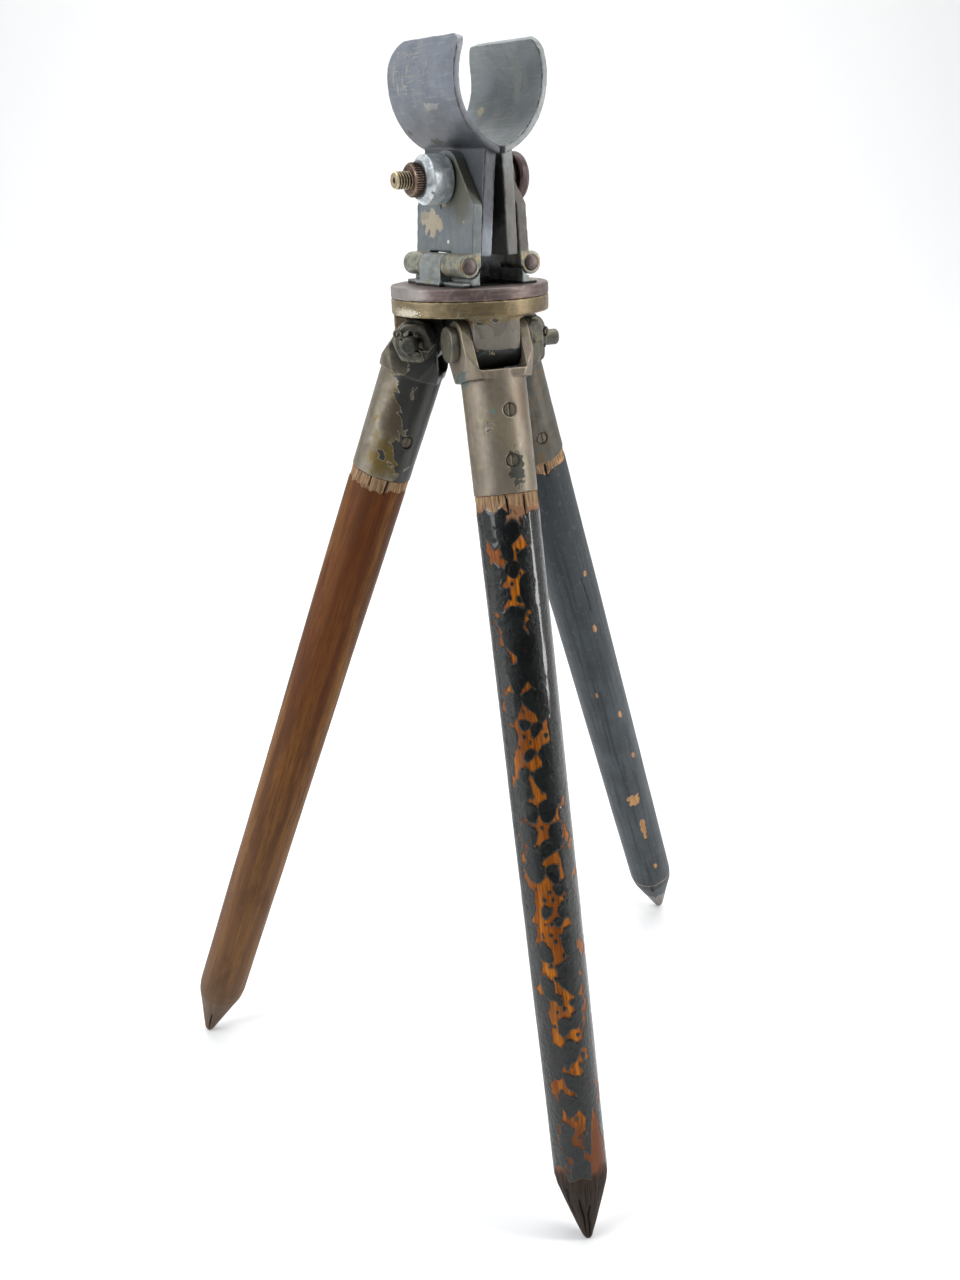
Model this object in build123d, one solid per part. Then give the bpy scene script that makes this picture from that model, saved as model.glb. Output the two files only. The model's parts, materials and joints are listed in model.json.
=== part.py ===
from build123d import *
import math
import os

# Folding field stand for a small telescope or sighting instrument. All sizes in millimetres.
# A two-half cradle is clamped by one cross bolt between two hinged cheeks on a turntable.
# Below the turntable three pointed wooden legs hang in bronze forks.
#
# Three frames are used:
#   disc frame  origin on the turntable's bearing plane, Z along the turntable axis
#   head frame  the disc frame turned about Z, so X runs along the cradle and Y along the bolt
#   leg frame   origin on a leg's hinge, X outward, Y along the hinge pin, the leg down along -Z
# stand() takes the disc frame to the part's own frame: origin on the ground under the turntable.

# ---- driving dimensions -------------------------------------------------------------------
DISC_R = 38.1                 # three-inch turntable
TOP_DISC_T = 5.7
BASE_DISC_T = 7.5
DISC_EDGE = 0.5               # chamfer along the bearing plane
HUB_R = 14.4                  # ring under the base disc, round the pivot nut
HUB_WELL_R = 10.4
HUB_END = 15.2

# legs: name, direction about the turntable axis, angle from the turntable axis, screw places
LEG_ANGLE = 20.1              # turns the whole set of legs
LEGS = (
    ("front", LEG_ANGLE - 90, 13.5, ((3, 33.0), (-2, 56.2))),
    ("left", LEG_ANGLE + 150, 20.6, ((131, 50.2), (-49, 33.0))),
    ("right", LEG_ANGLE + 30, 21.5, ((-117, 57.5), (63, 33.0))),
)
LEG_HINGE_R = 24.3            # hinge pin to turntable axis
LEG_HINGE_DROP = 19.7         # hinge pin below the bearing plane
LEG_LENGTH = 467.0            # hinge pin to the foot's point
LUG_HALF = 11.6               # half width of the lug between the fork's arms
LUG_R = 12.4                  # rounded end, just clear of the slot's floor
ARM_T = 5.3
ARM_GAP = 0.3                 # free play each side of the lug
ARM_R = 10.6                  # round top of the arms
FORK_SLOT = 14.0              # hinge pin to the floor of the slot
FORK_BODY = 17.8              # hinge pin to the bottom of the arms
FORK_FOOT_R = 18.2            # the arms' lower corners are turned to this radius
FERRULE_END = 71.6            # hinge pin to the lower end of the ferrule
FERRULE_R = 15.6
FERRULE_BORE = 13.6
LEG_TOP_R = 15.5              # wood just below the ferrule
LEG_LOW_R = 14.3              # wood where the point starts
POINT_LENGTH = 38.0
POINT_R = 3.0                 # blunt tip
PIN_R = 3.8                   # leg hinge bolt
PIN_HEAD_R = 8.4
PIN_HEAD_T = 3.6
PIN_END = 35.2                # end of the bolt from the middle of the lug
HEAD_WASHER_R = 7.6
HEAD_WASHER_T = 0.8
NUT_WASHER_R = 10.0
NUT_WASHER_T = 1.4
NUT_FLATS = 17.6
NUT_BODY = 6.0
NUT_CROWN = 3.4
NUT_CROWN_R = 5.8
NUT_SLOT = 2.3
SPLIT_PIN_R = 0.9
SPLIT_PIN_ANGLE = 75.0        # split pin's direction, from up the leg towards outward
SCREW_R = 2.2                 # ferrule screws
SCREW_HEAD_R = 2.8
SCREW_HEAD_TOP = 0.9          # heads lie this far below the ferrule's surface
SCREW_SEAT = 1.5
SCREW_SINK_R = 3.3            # rough hole round each head
SCREW_DEPTH = 7.5
RUN = 0.05                    # radial clearance of pins and shafts

# head
HEAD_TURN = -58.0             # direction of the cradle about the turntable axis at rest
HINGE_Y = 17.1                # hinge pins each side of the middle
HINGE_Z = 15.0
KNUCKLE_R = 5.3
HINGE_HALF = 26.3             # half length of the hinge
HINGE_SHIFT = 1.9             # middle of the hinge along X
MID_KNUCKLE = (-9.4, 10.4)    # middle knuckle, along X
KNUCKLE_GAP = 0.2             # play at each end of the middle knuckle
KNUCKLE_LIP = 4.9             # lip behind the middle knuckle, above the pin
HINGE_FOOT_T = 2.0
HINGE_LEAF_T = 4.0
HINGE_PIN_R = 2.6
HINGE_HEAD_R = 3.9
LEAN = 3.9                    # cheeks lean in when the cradle is closed empty
CHEEK_T = 5.2
CHEEK_IN = 6.1                # cheek's inner face, inward from the hinge pin
CHEEK_HALF = 25.0             # half length of the cheek, each side of the bolt
CHEEK_CROWN_R = 12.4          # round top about the bolt
CHEEK_SHOULDER = 11.2         # sloping shoulders end this far below the bolt
BOLT_X = 3.2
BOLT_Z = 52.4
BOLT_HOLE_R = 5.5             # bolt holes clear the bolt while the cheeks open
STEM_T = 6.3
STEM_HALF = 26.6
STEM_TOP = 55.0
STEM_LOW = 20.0               # lower end of the jaw stems
SLIDE_GAP = 0.1               # between a stem and its cheek
CRADLE_HALF = 29.4            # half length of the cradle
CRADLE_X = 1.5                # middle of the cradle and its stems along X
CRADLE_TILT = 1.6             # the near end is tilted down about the bolt at rest
JAW_R = 32.6                  # outer radius of a jaw
JAW_T = 3.2
JAW_OFFSET = 8.0              # each jaw's centre lies beyond the middle plane
JAW_CENTRE_Z = 94.2
JAW_TIP_ANGLE = 30.5          # where the jaw ends, from level
JAW_CORNER_NEAR = 7.0
JAW_CORNER_FAR = 12.0
JAW_SPLIT = 1.05              # half gap where the jaws meet, room to tilt while leaning in

# clamp bolt, along Y
BOLT_R = 3.97                 # five-sixteenths inch
THREAD_PITCH = 1.4111         # eighteen threads to the inch
THREAD_DEPTH = 0.8
BOLT_END = 40.3
BOLT_TIP_R = 3.2
THREAD_START = 25.0
HEAD_IN = 14.4                # faces that bear on the cheeks
HEAD_FLANGE = (9.6, 19.8)     # radius, outer end
HEAD_NECK = (8.3, 21.2)
HEAD_DISC = (11.5, 27.0)
COLLAR_R = 11.0
COLLAR_RIM = 24.9             # end of the collar's cylinder
COLLAR_NOSE_R = 8.3
COLLAR_END = 27.7
CLAMP_NUT_R = 7.5
CLAMP_NUT_END = 32.6
KNURL_COUNT = 40
KNURL_DEPTH = 0.45

# turntable pivot
PIVOT_R = 6.0
PIVOT_HEAD_R = 10.0
PIVOT_HEAD_T = 2.6
PIVOT_WASHER_R = 9.5
PIVOT_WASHER_T = 1.4
PIVOT_NUT_FLATS = 15.0
PIVOT_NUT_T = 5.5

# countersunk screws that hold each hinge base to the turntable, from below
BASE_SCREWS = (-17.0, 16.0)   # along X
BASE_SCREW_Y = 18.0
BASE_SCREW_R = 1.6
BASE_SCREW_HEAD_R = 3.0
BASE_SCREW_TOP = 7.6

# derived
ARM_IN = LUG_HALF + ARM_GAP
ARM_OUT = ARM_IN + ARM_T
FAR = 60.0                    # reaches past any part of the stand


# ---- helpers --------------------------------------------------------------------------------
def rod(radius, low, high):
    """A cylinder about Z between two heights."""
    return Pos(0, 0, (low + high) / 2) * Cylinder(radius, high - low)


def along_x(shape):
    return Rot(0, 90, 0) * shape


def along_y(shape):
    return Rot(-90, 0, 0) * shape


def turned(points):
    """A turned piece from its half outline, given as (radius, height) pairs about Z."""
    outline = Polyline([(r, 0, h) for r, h in points], close=True)
    return revolve(make_face(outline), Axis.Z, 360)


def block(x, y, z):
    """A box between pairs of limits."""
    size = (x[1] - x[0], y[1] - y[0], z[1] - z[0])
    return Pos((x[0] + x[1]) / 2, (y[0] + y[1]) / 2, (z[0] + z[1]) / 2) * Box(*size)


def prism_y(points, low, high):
    """An outline in the XZ plane, given a thickness along Y."""
    face = make_face(Polyline([(x, low, z) for x, z in points], close=True))
    return extrude(face, high - low, dir=(0, 1, 0))


def hexagon(flats, low, high):
    return Pos(0, 0, low) * extrude(RegularPolygon(flats / math.sqrt(3), 6), high - low)


# ---- frames ---------------------------------------------------------------------------------
def leg_frame(direction, splay):
    hinge = Pos(LEG_HINGE_R, 0, -LEG_HINGE_DROP)
    return Rot(0, 0, direction) * hinge * Rot(0, -splay, 0)


def foot_point(direction, splay):
    place = leg_frame(direction, splay) * Pos(0, 0, -LEG_LENGTH)
    return place.position


def stance():
    """Stands the disc frame on the ground: the three foot points touch Z = 0."""
    front, left, right = [foot_point(direction, splay) for _, direction, splay, _ in LEGS]
    vertical = Vector(0, 0, 1)
    up = (right - front).cross(left - front).normalized()
    tip_axis = up.cross(vertical).normalized()
    tilted = Location(Plane((0, 0, 0), x_dir=tip_axis, z_dir=tip_axis.cross(up)))
    level = Location(Plane((0, 0, 0), x_dir=tip_axis, z_dir=tip_axis.cross(vertical)))
    return Pos(0, 0, -front.dot(up)) * level * tilted.inverse()


STAND = stance()
HEAD = Rot(0, 0, HEAD_TURN)
RIGHT_LEAN = Pos(0, HINGE_Y, HINGE_Z) * Rot(LEAN, 0, 0)


def bolt_rise():
    """Height of the bolt above the hinge pin, measured up the middle of the leaning cheek."""
    middle = CHEEK_IN - CHEEK_T / 2
    lean = math.radians(LEAN)
    return (BOLT_Z - HINGE_Z + middle * math.sin(lean)) / math.cos(lean)


def write(name, shape):
    shape.label = name
    export_step(shape, os.path.join("parts", name + ".step"))


def write_head(name, shape):
    write(name, STAND * HEAD * shape)


def write_pair(stem, right_shape):
    """Writes a right-hand piece and its mirror image on the left."""
    write_head("right_" + stem, right_shape)
    write_head("left_" + stem, mirror(right_shape, about=Plane.XZ))


# ---- base: lower disc with three lugs, pivot --------------------------------------------------
def leg_lug():
    """Lug for one leg in the leg frame of an upright leg."""
    top = LEG_HINGE_DROP - BASE_DISC_T
    body = along_y(rod(LUG_R, -LUG_HALF, LUG_HALF))
    body += block((-LUG_R, LUG_R), (-LUG_HALF, LUG_HALF), (0, top + 1))
    length, width = LUG_R + 1, LUG_HALF + 1.6
    body += block((-length, length), (-width, width), (top - 1.2, top + 1))
    return body


def base_plate():
    disc = rod(DISC_R, -BASE_DISC_T, 0)
    disc = chamfer(disc.edges().filter_by(GeomType.CIRCLE), DISC_EDGE)
    disc += rod(HUB_R, -HUB_END, -BASE_DISC_T) - rod(HUB_WELL_R, -HUB_END, -BASE_DISC_T)
    within = rod(DISC_R - DISC_EDGE - 0.4, -FAR, FAR)
    for _, direction, _, _ in LEGS:
        disc += leg_frame(direction, 0) * leg_lug() & within
    for _, direction, _, _ in LEGS:
        disc -= leg_frame(direction, 0) * along_y(rod(PIN_R + RUN, -LUG_HALF - 1, LUG_HALF + 1))
    disc -= rod(HUB_WELL_R, -FAR, -BASE_DISC_T)
    disc -= rod(PIVOT_R + RUN, -FAR, FAR)
    return disc


def pivot_bolt():
    """Bolt with a thin cheese head, slotted, holding the turntable down on the base."""
    under_head = TOP_DISC_T + RUN
    low = -BASE_DISC_T - PIVOT_WASHER_T - PIVOT_NUT_T - 1.5
    bolt = rod(PIVOT_R, low, under_head) + rod(PIVOT_HEAD_R, under_head, under_head + PIVOT_HEAD_T)
    bolt = chamfer(bolt.faces().sort_by(Axis.Z)[-1].edges(), 0.6)
    slot = block((-20, 20), (-0.8, 0.8), (under_head + 1.2, under_head + 9))
    return bolt - slot


def pivot_washer():
    top = -BASE_DISC_T
    return rod(PIVOT_WASHER_R, top - PIVOT_WASHER_T, top) - rod(PIVOT_R + RUN, -FAR, 0)


def pivot_nut():
    top = -BASE_DISC_T - PIVOT_WASHER_T
    nut = hexagon(PIVOT_NUT_FLATS, top - PIVOT_NUT_T, top)
    return nut - rod(PIVOT_R + RUN, -FAR, 0)


# ---- turntable: upper disc, hinge bases and pins ----------------------------------------------
def turntable_disc():
    disc = rod(DISC_R, 0, TOP_DISC_T)
    disc = chamfer(disc.edges().filter_by(GeomType.CIRCLE).sort_by(Axis.Z)[0], DISC_EDGE)
    disc = fillet(disc.edges().filter_by(GeomType.CIRCLE).sort_by(Axis.Z)[-1], 1.0)
    disc -= rod(PIVOT_R + RUN, -FAR, FAR)
    for x in BASE_SCREWS:
        for y in (-BASE_SCREW_Y, BASE_SCREW_Y):
            disc -= Pos(x, y, 0) * screw_hole()
    return HEAD * disc


def screw_hole():
    sink = Pos(0, 0, 0.95) * Cone(BASE_SCREW_HEAD_R + RUN, BASE_SCREW_R + RUN, 1.5)
    return rod(BASE_SCREW_R + RUN, 0, TOP_DISC_T + 3) + sink + rod(BASE_SCREW_HEAD_R + RUN, 0, 0.2)


def base_screw():
    """Countersunk screw from below, its head just under the disc's bearing face."""
    head = Pos(0, 0, 0.95) * Cone(BASE_SCREW_HEAD_R, BASE_SCREW_R, 1.5)
    return head + rod(BASE_SCREW_R, 1.0, BASE_SCREW_TOP)


def base_screws():
    screws = []
    for x in BASE_SCREWS:
        for y in (-BASE_SCREW_Y, BASE_SCREW_Y):
            screws.append(Pos(x, y, 0) * base_screw())
    return Compound(children=screws)


def hinge_base():
    """Right-hand hinge base: a foot on the disc, an upright leaf and the middle knuckle."""
    inner = HINGE_Y - CHEEK_IN + 0.8
    outer = HINGE_Y + KNUCKLE_R
    low = TOP_DISC_T
    foot = low + HINGE_FOOT_T
    near = HINGE_SHIFT + HINGE_HALF
    far = HINGE_SHIFT - HINGE_HALF
    mid = (MID_KNUCKLE[0] + KNUCKLE_GAP, MID_KNUCKLE[1] - KNUCKLE_GAP)
    base = block((far + 1, near - 1), (inner, outer - 1.5), (low, foot))
    base += block((far, near), (inner, inner + HINGE_LEAF_T), (low, HINGE_Z - 1.6))
    base += block(mid, (inner, outer), (low, HINGE_Z))
    base += block(mid, (inner, HINGE_Y), (low, HINGE_Z + KNUCKLE_LIP))
    base += block((mid[0] - 1.5, mid[1] + 1.5), (inner, outer + 1.5), (low, foot))
    base += Pos(0, HINGE_Y, HINGE_Z) * along_x(rod(KNUCKLE_R, mid[0], mid[1]))
    sweep_room = Pos(0, HINGE_Y, HINGE_Z) * along_x(rod(KNUCKLE_R + 0.5, -FAR, FAR))
    wings = block((far - 1, mid[0]), (0, FAR), (foot, FAR))
    wings += block((mid[1], near + 1), (0, FAR), (foot, FAR))
    base -= sweep_room & wings
    base -= Pos(0, HINGE_Y, HINGE_Z) * along_x(rod(HINGE_PIN_R + RUN, -FAR, FAR))
    for x in BASE_SCREWS:
        base -= Pos(x, BASE_SCREW_Y, 0) * rod(BASE_SCREW_R + RUN, 0, BASE_SCREW_TOP + 0.05)
    return base


def hinge_pin():
    """Plain pin with a riveted dome at each end."""
    near = HINGE_SHIFT + HINGE_HALF + 0.1
    far = HINGE_SHIFT - HINGE_HALF - 0.1
    dome = 1.5
    outline = [
        (0, far - dome), (HINGE_HEAD_R * 0.6, far - dome * 0.85), (HINGE_HEAD_R * 0.9, far - dome * 0.45),
        (HINGE_HEAD_R, far), (HINGE_PIN_R, far), (HINGE_PIN_R, near), (HINGE_HEAD_R, near),
        (HINGE_HEAD_R * 0.9, near + dome * 0.45), (HINGE_HEAD_R * 0.6, near + dome * 0.85), (0, near + dome),
    ]
    return Pos(0, HINGE_Y, HINGE_Z) * along_x(turned(outline))


# ---- cheeks and jaws, drawn upright from the hinge pin and then leaned in -----------------------
def cheek():
    """Right-hand cheek in a frame on its hinge pin: Y outward, Z up the cheek."""
    rise = bolt_rise()
    inner = -CHEEK_IN
    outer = inner + CHEEK_T
    corner = math.hypot(CHEEK_HALF, CHEEK_SHOULDER)
    touch_angle = math.acos(CHEEK_CROWN_R / corner) - math.atan2(CHEEK_SHOULDER, CHEEK_HALF)
    touch_x = CHEEK_CROWN_R * math.cos(touch_angle)
    touch_z = rise + CHEEK_CROWN_R * math.sin(touch_angle)
    half = [(CHEEK_HALF, -0.8), (CHEEK_HALF, rise - CHEEK_SHOULDER), (touch_x, touch_z)]
    mirrored = [(-x, z) for x, z in reversed(half)]
    plate = prism_y(half + mirrored, inner, outer)
    plate += Pos(0, 0, rise) * along_y(rod(CHEEK_CROWN_R, inner, outer))
    plate -= Pos(0, 0, rise) * along_y(rod(BOLT_HOLE_R, -FAR, FAR))
    plate = Pos(BOLT_X, 0, 0) * plate
    far = HINGE_SHIFT - HINGE_HALF
    near = HINGE_SHIFT + HINGE_HALF
    barrel = rod(KNUCKLE_R, far, MID_KNUCKLE[0]) + rod(KNUCKLE_R, MID_KNUCKLE[1], near)
    plate += along_x(barrel)
    plate -= block(MID_KNUCKLE, (-10, 10), (-10, KNUCKLE_R + 0.7))
    plate -= along_x(rod(HINGE_PIN_R + RUN, -FAR, FAR))
    return plate


def jaw_curve():
    """The curved half of the cradle in the head frame, right-hand side."""
    centre = Pos(0, -JAW_OFFSET, JAW_CENTRE_Z)
    shell = rod(JAW_R, -CRADLE_HALF, CRADLE_HALF) - rod(JAW_R - JAW_T, -CRADLE_HALF, CRADLE_HALF)
    shell = centre * along_x(shell)
    tip = math.radians(JAW_TIP_ANGLE)
    far = 2 * JAW_R
    side = Polyline(
        [(0, -JAW_OFFSET, JAW_CENTRE_Z),
         (0, -JAW_OFFSET + far * math.cos(tip), JAW_CENTRE_Z + far * math.sin(tip)),
         (0, 2 * far, 0), (0, JAW_SPLIT, 0), (0, JAW_SPLIT, JAW_CENTRE_Z - JAW_OFFSET)],
        close=True,
    )
    wedge = extrude(make_face(side), 2 * CRADLE_HALF, dir=(1, 0, 0))
    shell &= Pos(-CRADLE_HALF, 0, 0) * wedge
    top = JAW_CENTRE_Z + JAW_R * math.sin(tip)
    for end, radius in ((1, JAW_CORNER_NEAR), (-1, JAW_CORNER_FAR)):
        corner = block((0, radius * 2), (-FAR, FAR), (0, radius * 2))
        corner -= along_y(rod(radius, -FAR, FAR))
        corner = Pos(CRADLE_HALF - radius, 0, top - radius) * corner
        shell -= corner if end > 0 else mirror(corner, about=Plane.YZ)
    return shell


def jaw():
    """Right-hand half of the cradle with its stem, in the head frame."""
    outer = -CHEEK_IN - SLIDE_GAP
    stem_low = STEM_LOW - HINGE_Z
    stem = block((-STEM_HALF, STEM_HALF), (outer - STEM_T, outer), (stem_low, STEM_TOP))
    stem -= Pos(BOLT_X - CRADLE_X, 0, bolt_rise()) * along_y(rod(BOLT_HOLE_R, -FAR, FAR))
    stem = RIGHT_LEAN * stem
    stem &= Pos(0, -JAW_OFFSET, 0) * (
        Pos(0, 0, JAW_CENTRE_Z) * along_x(rod(JAW_R - JAW_T / 2, -FAR, FAR))
        + block((-FAR, FAR), (-FAR, FAR), (0, JAW_CENTRE_Z - JAW_R + 4))
    )
    stem -= Pos(0, -JAW_OFFSET, JAW_CENTRE_Z) * along_x(rod(JAW_R - JAW_T, -FAR, FAR))
    stem -= block((-FAR, FAR), (-FAR, JAW_SPLIT), (0, 2 * FAR))
    half = Pos(CRADLE_X, 0, 0) * (stem + jaw_curve())
    on_axis = RIGHT_LEAN * Pos(BOLT_X, 0, bolt_rise())
    return on_axis * Rot(0, CRADLE_TILT, 0) * on_axis.inverse() * half


# ---- clamp bolt, collar and knurled nut ---------------------------------------------------------
def clamp_bolt():
    """Turned bolt: disc head on the right, thread to the left, drawn along Z and laid on Y."""
    flange_r, flange_end = HEAD_FLANGE
    neck_r, neck_end = HEAD_NECK
    disc_r, disc_end = HEAD_DISC
    outline = [(0, disc_end), (disc_r - 2.2, disc_end), (disc_r - 0.7, disc_end - 0.5)]
    outline += [(disc_r, disc_end - 1.7), (disc_r, neck_end + 1.3), (disc_r - 0.8, neck_end)]
    outline += [(neck_r, neck_end), (neck_r, flange_end), (flange_r - 0.6, flange_end)]
    outline += [(flange_r, flange_end - 0.6), (flange_r, HEAD_IN), (BOLT_R, HEAD_IN)]
    outline.append((BOLT_R, -THREAD_START))
    height = -THREAD_START
    while height - THREAD_PITCH > -BOLT_END + 1.2:
        outline.append((BOLT_R - THREAD_DEPTH, height - THREAD_PITCH / 2))
        outline.append((BOLT_R, height - THREAD_PITCH))
        height -= THREAD_PITCH
    outline += [(BOLT_TIP_R, -BOLT_END), (0.9, -BOLT_END), (0, -BOLT_END + 1.1)]
    bolt = turned(outline)
    return Pos(BOLT_X, 0, BOLT_Z) * along_y(bolt)


def clamp_collar():
    """Plain steel collar with a tapered nose, between the left cheek and the knurled nut."""
    bore = BOLT_R + RUN
    outline = [(bore, -HEAD_IN), (COLLAR_R - 0.5, -HEAD_IN), (COLLAR_R, -HEAD_IN - 0.5)]
    outline += [(COLLAR_R, -COLLAR_RIM), (COLLAR_R - 0.7, -COLLAR_RIM - 0.6)]
    outline += [(COLLAR_NOSE_R, -COLLAR_END), (bore, -COLLAR_END)]
    return Pos(BOLT_X, 0, BOLT_Z) * along_y(turned(outline))


def clamp_nut():
    """Round nut with straight knurling and bevelled faces."""
    step = 2 * math.pi / KNURL_COUNT
    points = []
    for tooth in range(KNURL_COUNT):
        for turn, radius in ((0, CLAMP_NUT_R), (0.5, CLAMP_NUT_R - KNURL_DEPTH)):
            angle = (tooth + turn) * step
            points.append((radius * math.cos(angle), radius * math.sin(angle)))
    length = CLAMP_NUT_END - COLLAR_END
    knurled = extrude(make_face(Polyline(points, close=True)), length)
    bevel = 1.1
    full = CLAMP_NUT_R + 0.01
    limits = [(0, 0), (full - bevel * 0.6, 0), (full, bevel * 0.6), (full, length - bevel)]
    limits += [(full - bevel * 1.2, length), (0, length)]
    nut = knurled & turned(limits)
    nut -= rod(BOLT_R + RUN, -1, length + 1)
    return Pos(BOLT_X, -COLLAR_END, BOLT_Z) * Rot(90, 0, 0) * nut


# ---- one leg ------------------------------------------------------------------------------------
def screw_place(angle, drop):
    """From the leg frame to a screw's head: X outward from the ferrule's wall."""
    return Pos(0, 0, -drop) * Rot(0, 0, angle) * Pos(FERRULE_R, 0, 0)


def fork(screws):
    """Bronze fork and ferrule in one casting."""
    half = FERRULE_R - 0.4
    arms = along_y(rod(ARM_R, -ARM_OUT, ARM_OUT))
    web = [(-ARM_R, 0), (ARM_R, 0), (half, -FORK_SLOT + 1), (half, -FORK_BODY)]
    web += [(-half, -FORK_BODY), (-half, -FORK_SLOT + 1)]
    arms += prism_y(web, -ARM_OUT, ARM_OUT)
    waist = ARM_OUT + 4
    arms &= turned([(0, -FORK_BODY), (FORK_FOOT_R, -FORK_BODY), (waist, -6), (waist, 20), (0, 20)])
    ferrule = Pos(0, 0, -(FORK_SLOT + FERRULE_END) / 2) * Cone(
        FERRULE_R - 0.15, FERRULE_R, FERRULE_END - FORK_SLOT)
    fork = arms + ferrule
    room = along_y(rod(FORK_SLOT, -ARM_IN, ARM_IN))
    room += block((-FAR, FAR), (-ARM_IN, ARM_IN), (-FORK_SLOT, 40))
    fork -= room
    fork -= rod(FERRULE_BORE, -FERRULE_END - 1, -FORK_BODY - 2)
    fork -= along_y(rod(PIN_R + RUN, -FAR, FAR))
    for angle, drop in screws:
        fork -= screw_place(angle, drop) * screw_recess()
    return fork


def screw_recess():
    shank = rod(SCREW_R + RUN, -SCREW_DEPTH - 0.5, 3)
    return along_x(shank + rod(SCREW_SINK_R, -SCREW_SEAT, 3))


def ferrule_screw():
    """Slotted screw sunk below the ferrule's surface, its shank in the wood."""
    screw = rod(SCREW_R, -SCREW_DEPTH, -SCREW_SEAT) + rod(SCREW_HEAD_R, -SCREW_SEAT, -SCREW_HEAD_TOP)
    screw -= block((-5, 5), (-0.45, 0.45), (-SCREW_HEAD_TOP - 0.4, 0))
    return along_x(screw)


def leg_shaft(screws):
    """Turned wooden leg: tenon inside the ferrule, taper, blunt point."""
    tenon = FERRULE_BORE - 0.1
    point_top = -LEG_LENGTH + POINT_LENGTH
    outline = [(0, -FORK_BODY - 3), (tenon - 1, -FORK_BODY - 3), (tenon, -FORK_BODY - 4)]
    outline += [(tenon, -FERRULE_END - 0.3), (LEG_TOP_R, -FERRULE_END - 0.3)]
    outline += [(LEG_LOW_R, point_top), (LEG_LOW_R - 0.7, point_top - 5)]
    outline += [(POINT_R, -LEG_LENGTH + 2.4), (POINT_R * 0.55, -LEG_LENGTH + 0.4), (0, -LEG_LENGTH)]
    shaft = turned(outline)
    for angle, drop in screws:
        shaft -= screw_place(angle, drop) * along_x(rod(SCREW_R + RUN, -SCREW_DEPTH - 0.1, 3))
    return shaft


def leg_bolt():
    """Hinge bolt: large plain head, shank, rounded end, hole for the split pin."""
    seat = -ARM_OUT - HEAD_WASHER_T
    outline = [(0, seat - PIN_HEAD_T), (PIN_HEAD_R - 0.5, seat - PIN_HEAD_T)]
    outline += [(PIN_HEAD_R, seat - PIN_HEAD_T + 0.5), (PIN_HEAD_R, seat), (PIN_R, seat)]
    outline += [(PIN_R, PIN_END - 0.9), (PIN_R - 0.9, PIN_END), (0, PIN_END)]
    bolt = along_y(turned(outline))
    return bolt - Pos(0, split_pin_place(), 0) * split_pin_turn() * rod(SPLIT_PIN_R + RUN, -20, 20)


def ring(outer, low, high):
    return along_y(rod(outer, low, high) - rod(PIN_R + RUN, low - 1, high + 1))


def split_pin_place():
    return ARM_OUT + NUT_WASHER_T + NUT_BODY + NUT_CROWN / 2


def split_pin_turn():
    return Rot(0, SPLIT_PIN_ANGLE, 0)


def castle_nut():
    """Hexagon nut with a round, slotted crown."""
    low = ARM_OUT + NUT_WASHER_T
    high = low + NUT_BODY + NUT_CROWN
    corner = NUT_FLATS / math.sqrt(3)
    nut = hexagon(NUT_FLATS, low, high)
    shoulder = low + NUT_BODY
    outline = [(0, low), (corner - 0.8, low), (corner, low + 0.8), (corner, shoulder - 1.4)]
    outline += [(corner - 1.8, shoulder), (NUT_CROWN_R, shoulder), (NUT_CROWN_R, high - 1.0)]
    outline += [(NUT_CROWN_R - 1.0, high), (0, high)]
    nut &= turned(outline)
    for flat in (30, 90, 150):
        cut = block((-FAR, FAR), (-NUT_SLOT / 2, NUT_SLOT / 2), (shoulder, high + 1))
        nut -= Rot(0, 0, flat) * cut
    nut -= rod(PIN_R + RUN, low - 1, high + 1)
    return along_y(Rot(0, 0, SPLIT_PIN_ANGLE) * nut)


def split_pin():
    """Split pin through the bolt and the nut's slots: eye on one side, two bent legs on the other."""
    reach = NUT_CROWN_R + 0.5
    eye = 1.8
    shank = rod(SPLIT_PIN_R, -reach, reach)
    loop = Pos(0, 0, reach + eye - 0.4) * Rot(90, 0, 0) * Torus(eye, SPLIT_PIN_R * 0.75)
    pin = shank + loop
    for side in (-1, 1):
        pin += Pos(0, 0, -reach + 0.4) * Rot(0, side * 38, 0) * rod(SPLIT_PIN_R * 0.62, -4.0, 0)
    return Pos(0, split_pin_place(), 0) * split_pin_turn() * pin


def write_leg(name, direction, splay, screws):
    place = STAND * leg_frame(direction, splay)
    heads = [screw_place(angle, drop) * ferrule_screw() for angle, drop in screws]
    pieces = {
        "fork": fork(screws),
        "shaft": leg_shaft(screws),
        "hinge_bolt": leg_bolt(),
        "head_washer": ring(HEAD_WASHER_R, -ARM_OUT - HEAD_WASHER_T, -ARM_OUT),
        "nut_washer": ring(NUT_WASHER_R, ARM_OUT, ARM_OUT + NUT_WASHER_T),
        "castle_nut": castle_nut(),
        "split_pin": split_pin(),
        "ferrule_screws": Compound(children=heads),
    }
    for piece, shape in pieces.items():
        write(name + "_leg_" + piece, place * shape)


def main():
    os.makedirs("parts", exist_ok=True)
    write("base_plate", STAND * base_plate())
    write("pivot_bolt", STAND * pivot_bolt())
    write("pivot_washer", STAND * pivot_washer())
    write("pivot_nut", STAND * pivot_nut())
    write("turntable_disc", STAND * turntable_disc())
    write_head("hinge_base_screws", base_screws())
    write_pair("hinge_base", hinge_base())
    write_pair("hinge_pin", hinge_pin())
    write_pair("cheek", RIGHT_LEAN * cheek())
    write_pair("jaw", jaw())
    write_head("clamp_bolt", clamp_bolt())
    write_head("clamp_collar", clamp_collar())
    write_head("clamp_nut", clamp_nut())
    for name, direction, splay, screws in LEGS:
        write_leg(name, direction, splay, screws)


main()
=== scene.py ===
import json
import math
import bmesh
import bpy
import numpy as np
from mathutils import Matrix, Quaternion, Vector

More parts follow.
